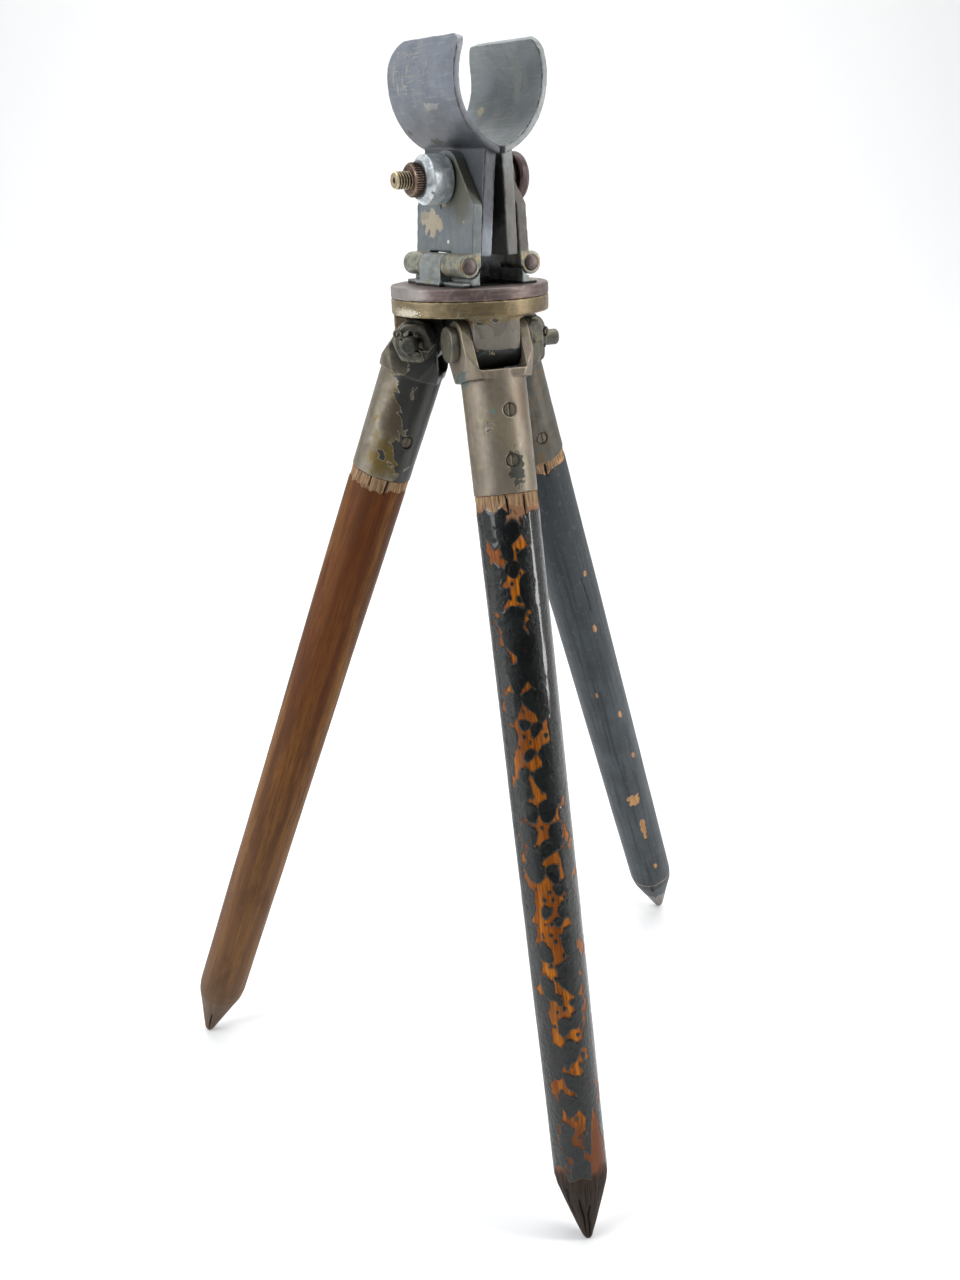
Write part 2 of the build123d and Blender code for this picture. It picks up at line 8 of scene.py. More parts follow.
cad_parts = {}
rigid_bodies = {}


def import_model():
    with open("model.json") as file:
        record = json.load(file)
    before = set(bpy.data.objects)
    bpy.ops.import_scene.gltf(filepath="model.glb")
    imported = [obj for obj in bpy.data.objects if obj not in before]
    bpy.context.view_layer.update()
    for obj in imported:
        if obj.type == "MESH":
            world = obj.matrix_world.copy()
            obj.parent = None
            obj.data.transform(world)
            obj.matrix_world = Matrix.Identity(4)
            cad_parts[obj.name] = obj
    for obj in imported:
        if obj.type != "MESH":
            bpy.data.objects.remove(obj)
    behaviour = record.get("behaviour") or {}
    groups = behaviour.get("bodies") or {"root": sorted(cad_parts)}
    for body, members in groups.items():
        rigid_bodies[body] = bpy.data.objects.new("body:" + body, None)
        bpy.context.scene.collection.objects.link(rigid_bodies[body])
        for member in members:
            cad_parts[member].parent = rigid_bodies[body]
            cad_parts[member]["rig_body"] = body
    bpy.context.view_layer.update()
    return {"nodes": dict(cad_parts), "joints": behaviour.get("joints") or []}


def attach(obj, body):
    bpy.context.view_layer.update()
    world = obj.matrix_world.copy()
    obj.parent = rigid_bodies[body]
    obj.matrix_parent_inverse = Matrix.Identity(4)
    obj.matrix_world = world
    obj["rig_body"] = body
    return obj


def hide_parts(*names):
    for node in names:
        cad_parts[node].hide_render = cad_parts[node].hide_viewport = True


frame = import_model()
JOINTS = {joint["name"]: joint for joint in frame["joints"]}
MM = 1000.0


# ---- places: right-handed frames on the stand, points in millimetres --------------------------
class Place:
    """A frame with its origin and its axes given in the stand's own frame."""

    def __init__(self, origin, y_axis, z_axis):
        y = np.array(y_axis, float)
        y /= np.linalg.norm(y)
        z = np.array(z_axis, float)
        z -= (z @ y) * y
        z /= np.linalg.norm(z)
        self.axes = np.array([np.cross(y, z), y, z])
        self.origin = np.array(origin, float)

    def local(self, metres):
        return (np.asarray(metres) - self.origin) @ self.axes.T * MM

    def world(self, millimetres):
        return np.asarray(millimetres) @ self.axes / MM + self.origin

    def to_local_matrix(self):
        turn = Matrix([list(row) for row in self.axes]).to_4x4()
        return Matrix.Scale(MM, 4) @ turn @ Matrix.Translation(-Vector(self.origin))


def vertices(node):
    mesh = frame["nodes"][node].data
    co = np.zeros(len(mesh.vertices) * 3)
    mesh.vertices.foreach_get("co", co)
    return co.reshape(-1, 3)


def leg_place(leg):
    joint = JOINTS[leg + "_leg_fold"]
    hinge = np.array(joint["pos_m"])
    points = vertices(leg + "_leg_shaft")
    foot = points[np.argmax(np.linalg.norm(points - hinge, axis=1))]
    return Place(hinge, joint["axis"], hinge - foot)


TURN = JOINTS["turntable_turn"]
HEAD = Place(TURN["pos_m"], JOINTS["clamp_bolt_shift"]["axis"], TURN["axis"])
LEG = {leg: leg_place(leg) for leg in ("front", "left", "right")}
BOLT_X, _, BOLT_Z = HEAD.local(JOINTS["clamp_nut_turn"]["pos_m"])


# ---- noise on points ----------------------------------------------------------------------------
def noise(points, size, seed):
    """Smooth value noise from -1 to 1; size is the cell in millimetres, one number or three."""
    table = np.random.default_rng(seed).uniform(-1, 1, 4096)
    q = points / np.asarray(size, float)
    cell = np.floor(q).astype(np.int64)
    f = q - cell
    f = f * f * (3 - 2 * f)
    total = np.zeros(len(points))
    for corner in range(8):
        step = np.array([corner & 1, corner >> 1 & 1, corner >> 2 & 1])
        at = cell + step
        key = (at[:, 0] * 73856093) ^ (at[:, 1] * 19349663) ^ (at[:, 2] * 83492791)
        weight = np.prod(np.where(step == 1, f, 1 - f), axis=1)
        total += weight * table[key & 4095]
    return total


def ease(value, low, high):
    t = np.clip((value - low) / (high - low), 0, 1)
    return t * t * (3 - 2 * t)


# ---- meshes -------------------------------------------------------------------------------------
def link(name, mesh):
    obj = bpy.data.objects.new(name, mesh)
    bpy.context.scene.collection.objects.link(obj)
    return obj


def evaluated_mesh(obj):
    graph = bpy.context.evaluated_depsgraph_get()
    return bpy.data.meshes.new_from_object(obj.evaluated_get(graph))


def read_points(mesh):
    co = np.zeros(len(mesh.vertices) * 3)
    mesh.vertices.foreach_get("co", co)
    return co.reshape(-1, 3)


def read_normals(mesh):
    normals = np.zeros(len(mesh.vertices) * 3)
    mesh.vertex_normals.foreach_get("vector", normals)
    return normals.reshape(-1, 3)


def write_points(mesh, points):
    mesh.vertices.foreach_set("co", np.ascontiguousarray(points, np.float32).ravel())
    mesh.update()


def store(mesh, name, values):
    kind, field = ("FLOAT", "value") if values.ndim == 1 else ("FLOAT_VECTOR", "vector")
    layer = mesh.attributes.new(name, kind, "POINT")
    layer.data.foreach_set(field, np.ascontiguousarray(values, np.float32).ravel())


def dress(obj, node, material):
    """Puts a finished piece on its body in place of its CAD node."""
    obj.data.materials.clear()
    obj.data.materials.append(material)
    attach(obj, frame["nodes"][node]["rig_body"])
    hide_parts(node)


def worn(node, place, material, cell=0.4, dent=0.08, rounds=3):
    """A CAD node with softened edges and small dents, as metal that has been knocked about."""
    mesh = frame["nodes"][node].data.copy()
    mesh.transform(place.to_local_matrix())
    shell = bmesh.new()
    shell.from_mesh(mesh)
    bmesh.ops.remove_doubles(shell, verts=shell.verts, dist=0.002)
    shell.to_mesh(mesh)
    shell.free()
    for layer in [a for a in mesh.attributes if not a.is_required and not a.is_internal]:
        mesh.attributes.remove(layer)
    obj = link(node + "_worn", mesh)
    remesh = obj.modifiers.new("skin", "REMESH")
    remesh.mode = "VOXEL"
    remesh.voxel_size = cell
    ease_off = obj.modifiers.new("ease", "SMOOTH")
    ease_off.factor = 0.5
    ease_off.iterations = rounds
    obj.data = evaluated_mesh(obj)
    obj.modifiers.clear()
    points = read_points(obj.data)
    normals = read_normals(obj.data)
    rounder = obj.modifiers.new("round", "SMOOTH")
    rounder.factor = 0.5
    rounder.iterations = 14
    rounded = evaluated_mesh(obj)
    obj.modifiers.clear()
    edge = np.sum((points - read_points(rounded)) * normals, axis=1)
    bpy.data.meshes.remove(rounded)
    hollow = 0.7 * noise(points, 9.0, 1) + 0.4 * noise(points, 3.5, 2) + 0.2 * noise(points, 1.3, 3)
    chipped = ease(edge, 0.1, 0.4) * np.maximum(noise(points, 2.4, 4), 0)
    moved = points + normals * (dent * hollow - 0.5 * dent - 2.2 * dent * chipped)[:, None]
    write_points(obj.data, place.world(moved))
    store(obj.data, "local", points)
    store(obj.data, "edge", edge)
    obj.data.shade_smooth()
    dress(obj, node, material)


def grid_mesh(name, points, poles=True):
    """A closed surface from rows of points. With poles the first and last rows end in a point."""
    rows, columns = points.shape[:2]
    flat = points.reshape(-1, 3)
    faces = []
    last = rows - 1 if poles else rows
    for row in range(last):
        a = row * columns
        b = (row + 1) % rows * columns
        for c in range(columns):
            n = (c + 1) % columns
            faces.append((a + c, a + n, b + n, b + c))
    if poles:
        flat = np.vstack([flat, points[0].mean(0), points[-1].mean(0)])
        top, end = len(flat) - 2, (rows - 1) * columns
        for c in range(columns):
            n = (c + 1) % columns
            faces.append((n, c, top))
            faces.append((end + c, end + n, top + 1))
    mesh = bpy.data.meshes.new(name)
    mesh.from_pydata(flat.tolist(), [], faces)
    shell = bmesh.new()
    shell.from_mesh(mesh)
    bmesh.ops.recalc_face_normals(shell, faces=shell.faces)
    shell.to_mesh(mesh)
    shell.free()
    mesh.shade_smooth()
    return mesh, flat


def resampled(outline, step, closed=False):
    """An outline with evenly spaced points and slightly rounded corners."""
    corners = np.array(outline, float)
    if closed:
        corners = np.vstack([corners, corners[:1]])
    parts = []
    for a, b in zip(corners[:-1], corners[1:]):
        count = max(2, int(round(np.linalg.norm(b - a) / step)))
        parts.append(a + (b - a) * np.arange(count)[:, None] / count)
    if not closed:
        parts.append(corners[-1:])
    dense = np.vstack(parts)
    for _ in range(3):
        before, after = np.roll(dense, 1, 0), np.roll(dense, -1, 0)
        smooth = 0.25 * before + 0.5 * dense + 0.25 * after
        if not closed:
            smooth[0], smooth[-1] = dense[0], dense[-1]
        dense = smooth
    return dense


def lathe_on_bolt(node, outline, step, columns, shape, closed, material, dent):
    """A turned piece on the clamp bolt's axis. shape(radius, height, angle) gives the final radius."""
    dense = resampled(outline, step, closed)
    angle = np.arange(columns) * 2 * math.pi / columns
    radius = dense[:, 0][:, None] + 0 * angle
    height = dense[:, 1][:, None] + 0 * angle
    angle = angle[None, :] + 0 * radius
    radius = shape(radius, height, angle)
    points = np.stack([BOLT_X + radius * np.cos(angle), height, BOLT_Z + radius * np.sin(angle)], -1)
    mesh, flat = grid_mesh(node + "_turned", points, poles=not closed)
    normals = read_normals(mesh)
    groove = (dense[:, 0][:, None] - radius).ravel()
    groove = np.concatenate([groove, np.zeros(len(flat) - len(groove))])
    pits = 0.6 * noise(flat, 3.0, 21) + 0.4 * noise(flat, 1.1, 22)
    moved = flat + normals * (dent * (pits - 0.5))[:, None]
    write_points(mesh, HEAD.world(moved))
    store(mesh, "local", flat)
    axial = np.abs(normals[:, 1])
    # thread and knurl grooves count as concave, so they darken like creases: partly grime, partly painted
    # shade
    store(mesh, "edge", 0.25 * (1 - np.abs(2 * axial - 1)) * (groove < 0.1) - 0.45 * groove)
    obj = link(node + "_turned", mesh)
    dress(obj, node, material)
    return obj


# ---- shader graphs ------------------------------------------------------------------------------
def tint(r, g, b):
    """A colour given as seen on a screen, 0 to 255, made linear."""
    linear = []
    for value in (r, g, b):
        v = value / 255
        linear.append(v / 12.92 if v <= 0.04045 else ((v + 0.055) / 1.055) ** 2.4)
    return (*linear, 1.0)


class Graph:
    """A material's node tree, with short names for the nodes used most."""

    def __init__(self, name):
        self.material = bpy.data.materials.new(name)
        self.material.use_nodes = True
        self.tree = self.material.node_tree
        self.tree.nodes.clear()
        self.local = self.attribute("local", "Vector")

    def node(self, kind, inputs, **settings):
        made = self.tree.nodes.new("ShaderNode" + kind)
        for key, value in settings.items():
            setattr(made, key, value)
        for key, value in inputs.items():
            if isinstance(value, bpy.types.NodeSocket):
                self.tree.links.new(value, made.inputs[key])
            else:
                made.inputs[key].default_value = value
        return made

    def attribute(self, name, output="Fac"):
        return self.node("Attribute", {}, attribute_name=name).outputs[output]

    def stretched(self, x, y, z):
        """Local coordinates with each axis scaled."""
        return self.node("VectorMath", {0: self.local, 1: (x, y, z)}, operation="MULTIPLY").outputs[0]

    def noise(self, size, detail=3.0, roughness=0.55, at=None, warp=0.0):
        """Noise from 0 to 1 with lumps of about that size in millimetres."""
        inputs = {"Vector": at or self.local, "Scale": 1 / size, "Detail": detail,
                  "Roughness": roughness, "Distortion": warp}
        return self.node("TexNoise", inputs).outputs[0]

    def crazing(self, size, at):
        """Distance from the edges of cells of about that size, as in crazed paint."""
        inputs = {"Vector": at, "Scale": 1 / size}
        return self.node("TexVoronoi", inputs, feature="DISTANCE_TO_EDGE").outputs["Distance"]

    def math(self, operation, a, b=0.0, clamp=False):
        return self.node("Math", {0: a, 1: b}, operation=operation, use_clamp=clamp).outputs[0]

    def step(self, value, low, high):
        """0 below low, 1 above high, smooth between."""
        inputs = {"Value": value, "From Min": low, "From Max": high}
        return self.node("MapRange", inputs, interpolation_type="SMOOTHSTEP").outputs[0]

    def span(self, value, low, high):
        """Turns a value from 0 to 1 into one from low to high."""
        inputs = {"Value": value, "To Min": low, "To Max": high}
        return self.node("MapRange", inputs).outputs[0]

    def mix(self, factor, a, b):
        made = self.node("Mix", {0: factor, 6: a, 7: b}, data_type="RGBA")
        return made.outputs[2]

    def mix_value(self, factor, a, b):
        return self.node("Mix", {0: factor, 2: a, 3: b}).outputs[0]

    def axis(self, name):
        if not hasattr(self, "parts"):
            self.parts = self.node("SeparateXYZ", {0: self.local}).outputs
        return self.parts[name]

    def spot(self, centre, radius, ragged=0.5, grain=2.0, lean=(1, 0, 1), soft=0.04):
        """A ragged patch: 1 inside, 0 outside. An axis with lean 0 isn't looked at."""
        scale = [weight / r for weight, r in zip(lean, radius)]
        offset = self.node("VectorMath", {0: self.local, 1: centre}, operation="SUBTRACT").outputs[0]
        scaled = self.node("VectorMath", {0: offset, 1: scale}, operation="MULTIPLY").outputs[0]
        length = self.node("VectorMath", {0: scaled}, operation="LENGTH").outputs["Value"]
        rough = self.math("MULTIPLY", self.noise(grain, 2.0), 2 * ragged)
        return self.step(self.math("ADD", length, rough), 1 + soft + ragged, 1 - soft + ragged)

    def bump(self, height, distance, strength=1.0, under=None):
        inputs = {"Height": height, "Distance": distance / MM, "Strength": strength}
        if under is not None:
            inputs["Normal"] = under
        return self.node("Bump", inputs).outputs[0]

    def finish(self, colour, roughness, normal, metallic=0.0, coat=0.0, coat_roughness=0.15, ior=1.5):
        shader = self.node("BsdfPrincipled", {
            "Base Color": colour, "Roughness": roughness, "Normal": normal, "Metallic": metallic,
            "Coat Weight": coat, "Coat Roughness": coat_roughness, "IOR": ior})
        self.node("OutputMaterial", {"Surface": shader.outputs[0]})
        return self.material


def painted_shade(g, colour, rough, dark, tone=(22, 23, 23)):
    """Painted shade in sheltered places: recesses, gaps between parts and under the disc. dark holds
    (centre, radius) pairs.
    """
    for centre, radius in dark:
        patch = g.math("MULTIPLY", g.spot(centre, radius, 0.2, 4.0, (1, 1, 1), 0.16), 0.92)
        colour = g.mix(patch, colour, tint(*tone))
        rough = g.mix_value(patch, rough, 0.75)
    return colour, rough


def patina(name, tones, metallic=0.55, gloss=(0.38, 0.62), brush=(1, 1, 1), paint=None, spots=(),
           edge_tone=None, grime_and_shade=0.8, dark=(), streaks=0.45, stains_and_highlights=()):
    """Old metal: cloudy tones, brushed streaks, bright worn edges, grime and painted shade in corners,
    painted shade in set sheltered places, paint remains.

    paint is (colour, share, lean): lean is a direction, per millimetre, in which the paint gets thicker.
    spots are (colour, centre, radius, ragged, grain, lean) patches laid over the rest, and
    stains are (colour, centre, radius) patches with soft edges, under the paint; some are real marks, some
    painted highlights.
    """
    g = Graph(name)
    cloud = g.noise(14.0, 4.0, 0.6, warp=0.6)
    speck = g.noise(2.2, 5.0, 0.65)
    streak = g.noise(1.0, 3.0, 0.5, at=g.stretched(*brush))
    colour = g.mix(g.step(cloud, 0.35, 0.65), tint(*tones[0]), tint(*tones[1]))
    colour = g.mix(g.step(g.noise(7.0, 4.0, 0.6, warp=1.2), 0.52, 0.68), colour, tint(*tones[2]))
    colour = g.mix(g.math("MULTIPLY", g.step(streak, 0.42, 0.7), streaks), colour, tint(*tones[3]))
    colour = g.mix(g.math("MULTIPLY", g.step(speck, 0.56, 0.72), 0.4), colour, tint(*tones[4]))
    for patch_tone, centre, radius in stains_and_highlights:
        patch = g.math("MULTIPLY", g.spot(centre, radius, 0.5, 5.0, (1, 1, 1), 0.45), 0.85)
        colour = g.mix(patch, colour, g.mix(speck, tint(*[v * 0.75 for v in patch_tone]), tint(*patch_tone)))
    edge = g.attribute("edge")
    rub = g.math("ADD", edge, g.math("MULTIPLY", g.math("SUBTRACT", g.noise(3.0, 4.0), 0.5), 0.35))
    bare = g.step(rub, 0.09, 0.24)
    # concave creases darker: partly grime, partly painted shade
    dirt_and_shade = g.math("MULTIPLY", g.step(rub, -0.05, -0.22), grime_and_shade)
    colour = g.mix(g.math("MULTIPLY", bare, 0.75), colour, tint(*(edge_tone or tones[3])))
    rough = g.span(cloud, *gloss)
    height = g.math("ADD", g.math("MULTIPLY", streak, 0.4), speck)
    normal = g.bump(height, 0.09, 0.8, under=g.bump(g.noise(5.0, 2.0), 0.25, 0.6))
    metal = metallic
    if paint:
        paint_tone, share, lean = paint
        field = g.noise(9.0, 3.0, 0.5, warp=0.8)
        for axis, weight in zip("XYZ", lean):
            if weight:
                field = g.math("ADD", field, g.math("MULTIPLY", g.axis(axis), weight))
        cover = g.step(field, 1.005 - share, 1.02 - share)
        rim = g.math("SUBTRACT", g.step(field, 0.985 - share, 1.0 - share), cover, clamp=True)
        film = g.mix(g.step(speck, 0.4, 0.7), tint(*paint_tone), tint(*[v * 1.35 for v in paint_tone]))
        colour = g.mix(g.math("MULTIPLY", rim, 0.55), colour, tint(150, 142, 122))
        colour = g.mix(cover, colour, film)
        rough = g.mix_value(cover, rough, 0.42)
        metal = g.mix_value(cover, metallic, 0.0)
        normal = g.bump(cover, 0.12, 0.7, under=normal)
    for spot_tone, centre, radius, ragged, grain, lean in spots:
        patch = g.spot(centre, radius, ragged, grain, lean)
        colour = g.mix(patch, colour, g.mix(speck, tint(*[v * 0.8 for v in spot_tone]), tint(*spot_tone)))
        rough = g.mix_value(patch, rough, 0.6)
        normal = g.bump(patch, -0.08, 0.6, under=normal)
    colour = g.mix(dirt_and_shade, colour, tint(30, 28, 26))
    rough = g.mix_value(dirt_and_shade, rough, 0.8)
    # painted shade in the sheltered places given in dark
    colour, rough = painted_shade(g, colour, rough, dark)
    return g.finish(colour, rough, normal, metal)


def enamel(name, tones, rim_tone, spots=(), brush=(1, 1, 1), metallic=0.25, gloss=(0.36, 0.55), chips=0.5,
           scratches=None, shade=None, dark=(), zone=None):
    """Thin old paint on metal: cloudy, scuffed, worn through at the edges and in small chips.

    spots are as in patina. scratches is (centre, radius, lean), the place that is scratched.
    shade is (colour, centre, radius, ragged, lean), one large darker area with soft edges.
    zone is (start, end, colours), another finish below a height.
    """
    g = Graph(name)
    cloud = g.noise(16.0, 4.0, 0.6, warp=0.5)
    speck = g.noise(1.6, 5.0, 0.6)
    streak = g.noise(1.0, 4.0, 0.55, at=g.stretched(*brush))
    colour = g.mix(g.step(cloud, 0.36, 0.66), tint(*tones[0]), tint(*tones[1]))
    scuffed = g.step(g.noise(6.0, 5.0, 0.65), 0.5, 0.72)
    colour = g.mix(g.math("MULTIPLY", scuffed, 0.6), colour, tint(*tones[2]))
    colour = g.mix(g.math("MULTIPLY", g.step(streak, 0.5, 0.72), 0.35), colour, tint(*tones[3]))
    normal = g.bump(g.math("ADD", speck, g.math("MULTIPLY", streak, 0.6)), 0.06, 0.8,
                    under=g.bump(g.noise(4.5, 2.0), 0.22, 0.6))
    rough = g.span(cloud, *gloss)
    if zone:
        start, end, zone_tones = zone
        lower = g.step(g.axis("Z"), start, end)
        blotch = g.step(g.noise(5.0, 4.0, 0.6, warp=1.0), 0.42, 0.6)
        other = g.mix(blotch, tint(*zone_tones[0]), tint(*zone_tones[1]))
        other = g.mix(g.step(g.noise(4.0, 3.0, 0.6), 0.56, 0.64), other, tint(*zone_tones[2]))
        colour = g.mix(lower, colour, other)
        rough = g.mix_value(lower, rough, 0.36)
    edge = g.attribute("edge")
    rub = g.math("ADD", edge, g.math("MULTIPLY", g.math("SUBTRACT", g.noise(2.6, 4.0), 0.5), 0.4))
    through = g.step(rub, 0.1, 0.18)
    flecks = g.step(g.noise(3.2, 4.0, 0.6), 1.22 - chips, 1.24 - chips)
    through = g.math("MAXIMUM", through, flecks)
    bare = g.mix(g.step(g.noise(4.0, 3.0), 0.45, 0.6), tint(*rim_tone), tint(*[v * 0.62 for v in rim_tone]))
    colour = g.mix(g.math("MULTIPLY", through, 0.85), colour, bare)
    normal = g.bump(through, -0.08, 0.8, under=normal)
    for spot_tone, centre, radius, ragged, grain, lean in spots:
        patch = g.spot(centre, radius, ragged, grain, lean)
        colour = g.mix(patch, colour, g.mix(speck, tint(*[v * 0.85 for v in spot_tone]), tint(*spot_tone)))
        normal = g.bump(patch, -0.1, 0.8, under=normal)
        rough = g.mix_value(patch, rough, 0.62)
    if shade:
        shade_tone, centre, radius, ragged, lean = shade
        patch = g.math("MULTIPLY", g.spot(centre, radius, ragged, 8.0, lean, 0.4), 0.85)
        colour = g.mix(patch, colour, tint(*shade_tone))
    if scratches:
        centre, radius, lean = scratches
        long_ways = g.noise(1.0, 2.0, 0.5, at=g.stretched(0.12, 0.5, 1.6), warp=0.4)
        cross_ways = g.noise(1.0, 2.0, 0.5, at=g.stretched(1.1, 0.6, 0.14), warp=0.3)
        lines = g.math("MAXIMUM", g.step(long_ways, 0.64, 0.655), g.step(cross_ways, 0.645, 0.66))
        lines = g.math("MULTIPLY", lines, g.spot(centre, radius, 0.7, 5.0, lean))
        colour = g.mix(g.math("MULTIPLY", lines, 0.8), colour, tint(160, 153, 134))
        normal = g.bump(lines, -0.1, 0.8, under=normal)
    # concave creases darker: partly grime, partly painted shade
    dirt_and_shade = g.math("MULTIPLY", g.step(rub, -0.08, -0.25), 0.85)
    colour = g.mix(dirt_and_shade, colour, tint(26, 26, 27))
    rough = g.mix_value(through, rough, 0.6)
    # painted shade in the sheltered places given in dark
    colour, rough = painted_shade(g, colour, rough, dark)
    return g.finish(colour, rough, normal, metallic)


# ---- wooden legs --------------------------------------------------------------------------------
HIDDEN_TOP = 20.8             # wood starts this far below the hinge, inside the ferrule
FERRULE_END = 71.9
TENON_R = 13.3
SHOULDER_R = 15.5
LOW_R = 14.3
POINT_LENGTH = 38.0
TIP_R = 3.0
COLUMNS = 180
ROW = 0.8


def shaft_radius(down, length):
    """Radius of a leg at a distance below its hinge."""
    start = length - POINT_LENGTH
    knots = [HIDDEN_TOP, FERRULE_END - 0.6, FERRULE_END, start - 2, start + 4,
             length - 2.6, length - 0.8, length]
    radii = [TENON_R, TENON_R, SHOULDER_R, LOW_R, LOW_R - 0.9, TIP_R, TIP_R * 0.62, 0.4]
    return np.interp(down, knots, radii)


def shaft_grid(leg):
    length = np.linalg.norm(LEG[leg].local(vertices(leg + "_leg_shaft")), axis=1).max()
    down = np.concatenate([
        np.linspace(HIDDEN_TOP, FERRULE_END - 0.8, 6),
        np.arange(FERRULE_END - 0.5, FERRULE_END + 0.6, 0.25),
        np.arange(FERRULE_END + 0.9, length - 3, ROW), np.linspace(length - 2.6, length - 0.05, 9)])
    angle = np.arange(COLUMNS) * 2 * math.pi / COLUMNS
    down, angle = np.meshgrid(down, angle, indexing="ij")
    return length, down, angle


def around(angle, down, size_round, size_down, seed, radius=15.0):
    """Noise on a leg's surface, with its own cell size round the leg and down it."""
    points = np.stack([np.cos(angle) * radius, np.sin(angle) * radius, down * size_round / size_down], -1)
    return noise(points.reshape(-1, 3), size_round, seed).reshape(angle.shape)


def near(angle, degrees, width):
    """1 at an angle, falling to 0 a width away, in degrees."""
    gap = (np.degrees(angle) - degrees + 180) % 360 - 180
    return np.clip(1 - (gap / width) ** 2, 0, 1)


def crack(angle, down, degrees, top, end, width, wander, seed):
    """Depth share of one long drying crack."""
    shift = wander * around(0 * angle, down, 5.0, 9.0, seed)
    gap = (np.degrees(angle) - degrees - shift + 180) % 360 - 180
    spread = width * np.sqrt(np.clip((down - top) * (end - down), 0, None)) * 2 / (end - top) + 1e-6
    inside = (down > top) & (down < end)
    return np.where(inside, np.clip(1 - (gap / spread) ** 2, 0, 1), 0)


def blobs(angle, down, spacing, grow, seed):
    """Field of rounded islands of paint: above 0 inside an island, in millimetres from its edge."""
    rng = np.random.default_rng(seed)
    field = np.full(angle.shape, -6.0)
    radius = 15.0
    round_count = int(2 * math.pi * radius / spacing)
    for row, centre_down in enumerate(np.arange(down.min(), down.max(), spacing * 1.15)):
        for column in range(round_count):
            centre_angle = (column + 0.5 * (row % 2) + rng.uniform(-0.45, 0.45)) * 2 * math.pi / round_count
            at = centre_down + rng.uniform(-0.5, 0.5) * spacing
            half_wide = spacing * rng.uniform(0.42, 0.78)
            half_long = half_wide * rng.uniform(0.9, 1.9)
            lean = rng.uniform(-0.5, 0.5)
            window = np.abs(down[:, 0] - at) < half_long * 2.2
            if not window.any():
                continue
            dx = ((angle[window] - centre_angle + math.pi) % (2 * math.pi) - math.pi) * radius
            dz = down[window] - at
            across = dx * math.cos(lean) + dz * math.sin(lean)
            along = dz * math.cos(lean) - dx * math.sin(lean)
            tear = 1 + 0.35 * np.clip(along / half_long, -1, 1)
            size = grow[window]
            reach = np.sqrt((across * tear / half_wide) ** 2 + (along / half_long) ** 2)
            field[window] = np.maximum(field[window], (size - reach) * half_wide)
    return field


def shaft(leg, material, cracks, paint=None):
    """One wooden leg: turned by hand, splintered under the ferrule, cracked at the point."""
    length, down, angle = shaft_grid(leg)
    radius = shaft_radius(down, length)
    seed = {"front": 40, "left": 60, "right": 80}[leg]
    free = ease(down, FERRULE_END - 0.4, FERRULE_END + 0.4)
    uneven = 0.16 * around(angle, down, 14, 60, seed) + 0.08 * around(angle, down, 5, 30, seed + 1)
    grain = 0.035 * around(angle, down, 1.2, 22, seed + 2) + 0.02 * around(angle, down, 0.7, 9, seed + 3)
    splinter_end = 5.5 + 2.2 * around(angle, down * 0, 5.0, 10, seed + 4)
    splinter_end = splinter_end + 1.2 * around(angle, down, 1.6, 4, seed + 9)
    raw = free * ease(down, FERRULE_END + splinter_end + 1.2, FERRULE_END + splinter_end - 0.8)
    torn = around(angle, down, 1.0, 6, seed + 5)
    chewed = 0.3 + 0.26 * torn + 0.2 * around(angle, down, 2.2, 3, seed + 6)
    point = ease(down, length - POINT_LENGTH - 2, length - POINT_LENGTH + 6)
    rough_point = 0.22 * around(angle, down, 4, 12, seed + 7) + 0.08 * around(angle, down, 1.2, 14, seed + 8)
    split = np.zeros(angle.shape)
    for number, line in enumerate(cracks):
        split = np.maximum(split, crack(angle, down, *line, seed + 20 + number))
    radius = radius + free * (uneven - 0.2 + grain) - raw * chewed + 0.9 * point * rough_point - 1.1 * split
    store_values = {"raw": raw, "split": split, "down": down}
    if paint:
        film, lift = paint(angle, down, length)
        radius = radius + lift
        store_values["paint"] = film
    radius = np.maximum(radius, 0.25)
    points = np.stack([radius * np.cos(angle), radius * np.sin(angle), -down], -1)
    mesh, flat = grid_mesh(leg + "_leg_wood", points)
    write_points(mesh, LEG[leg].world(flat))
    smooth = np.stack([np.cos(angle) * 15, np.sin(angle) * 15, -down], -1).reshape(-1, 3)
    ends = np.array([[0, 0, -down[0, 0]], [0, 0, -down[-1, 0]]])
    store(mesh, "local", np.vstack([smooth, ends]))
    for name, values in store_values.items():
        store(mesh, name, np.concatenate([values.ravel(), [values[0, 0], values[-1].mean()]]))
    obj = link(leg + "_leg_wood", mesh)
    dress(obj, leg + "_leg_shaft", material)


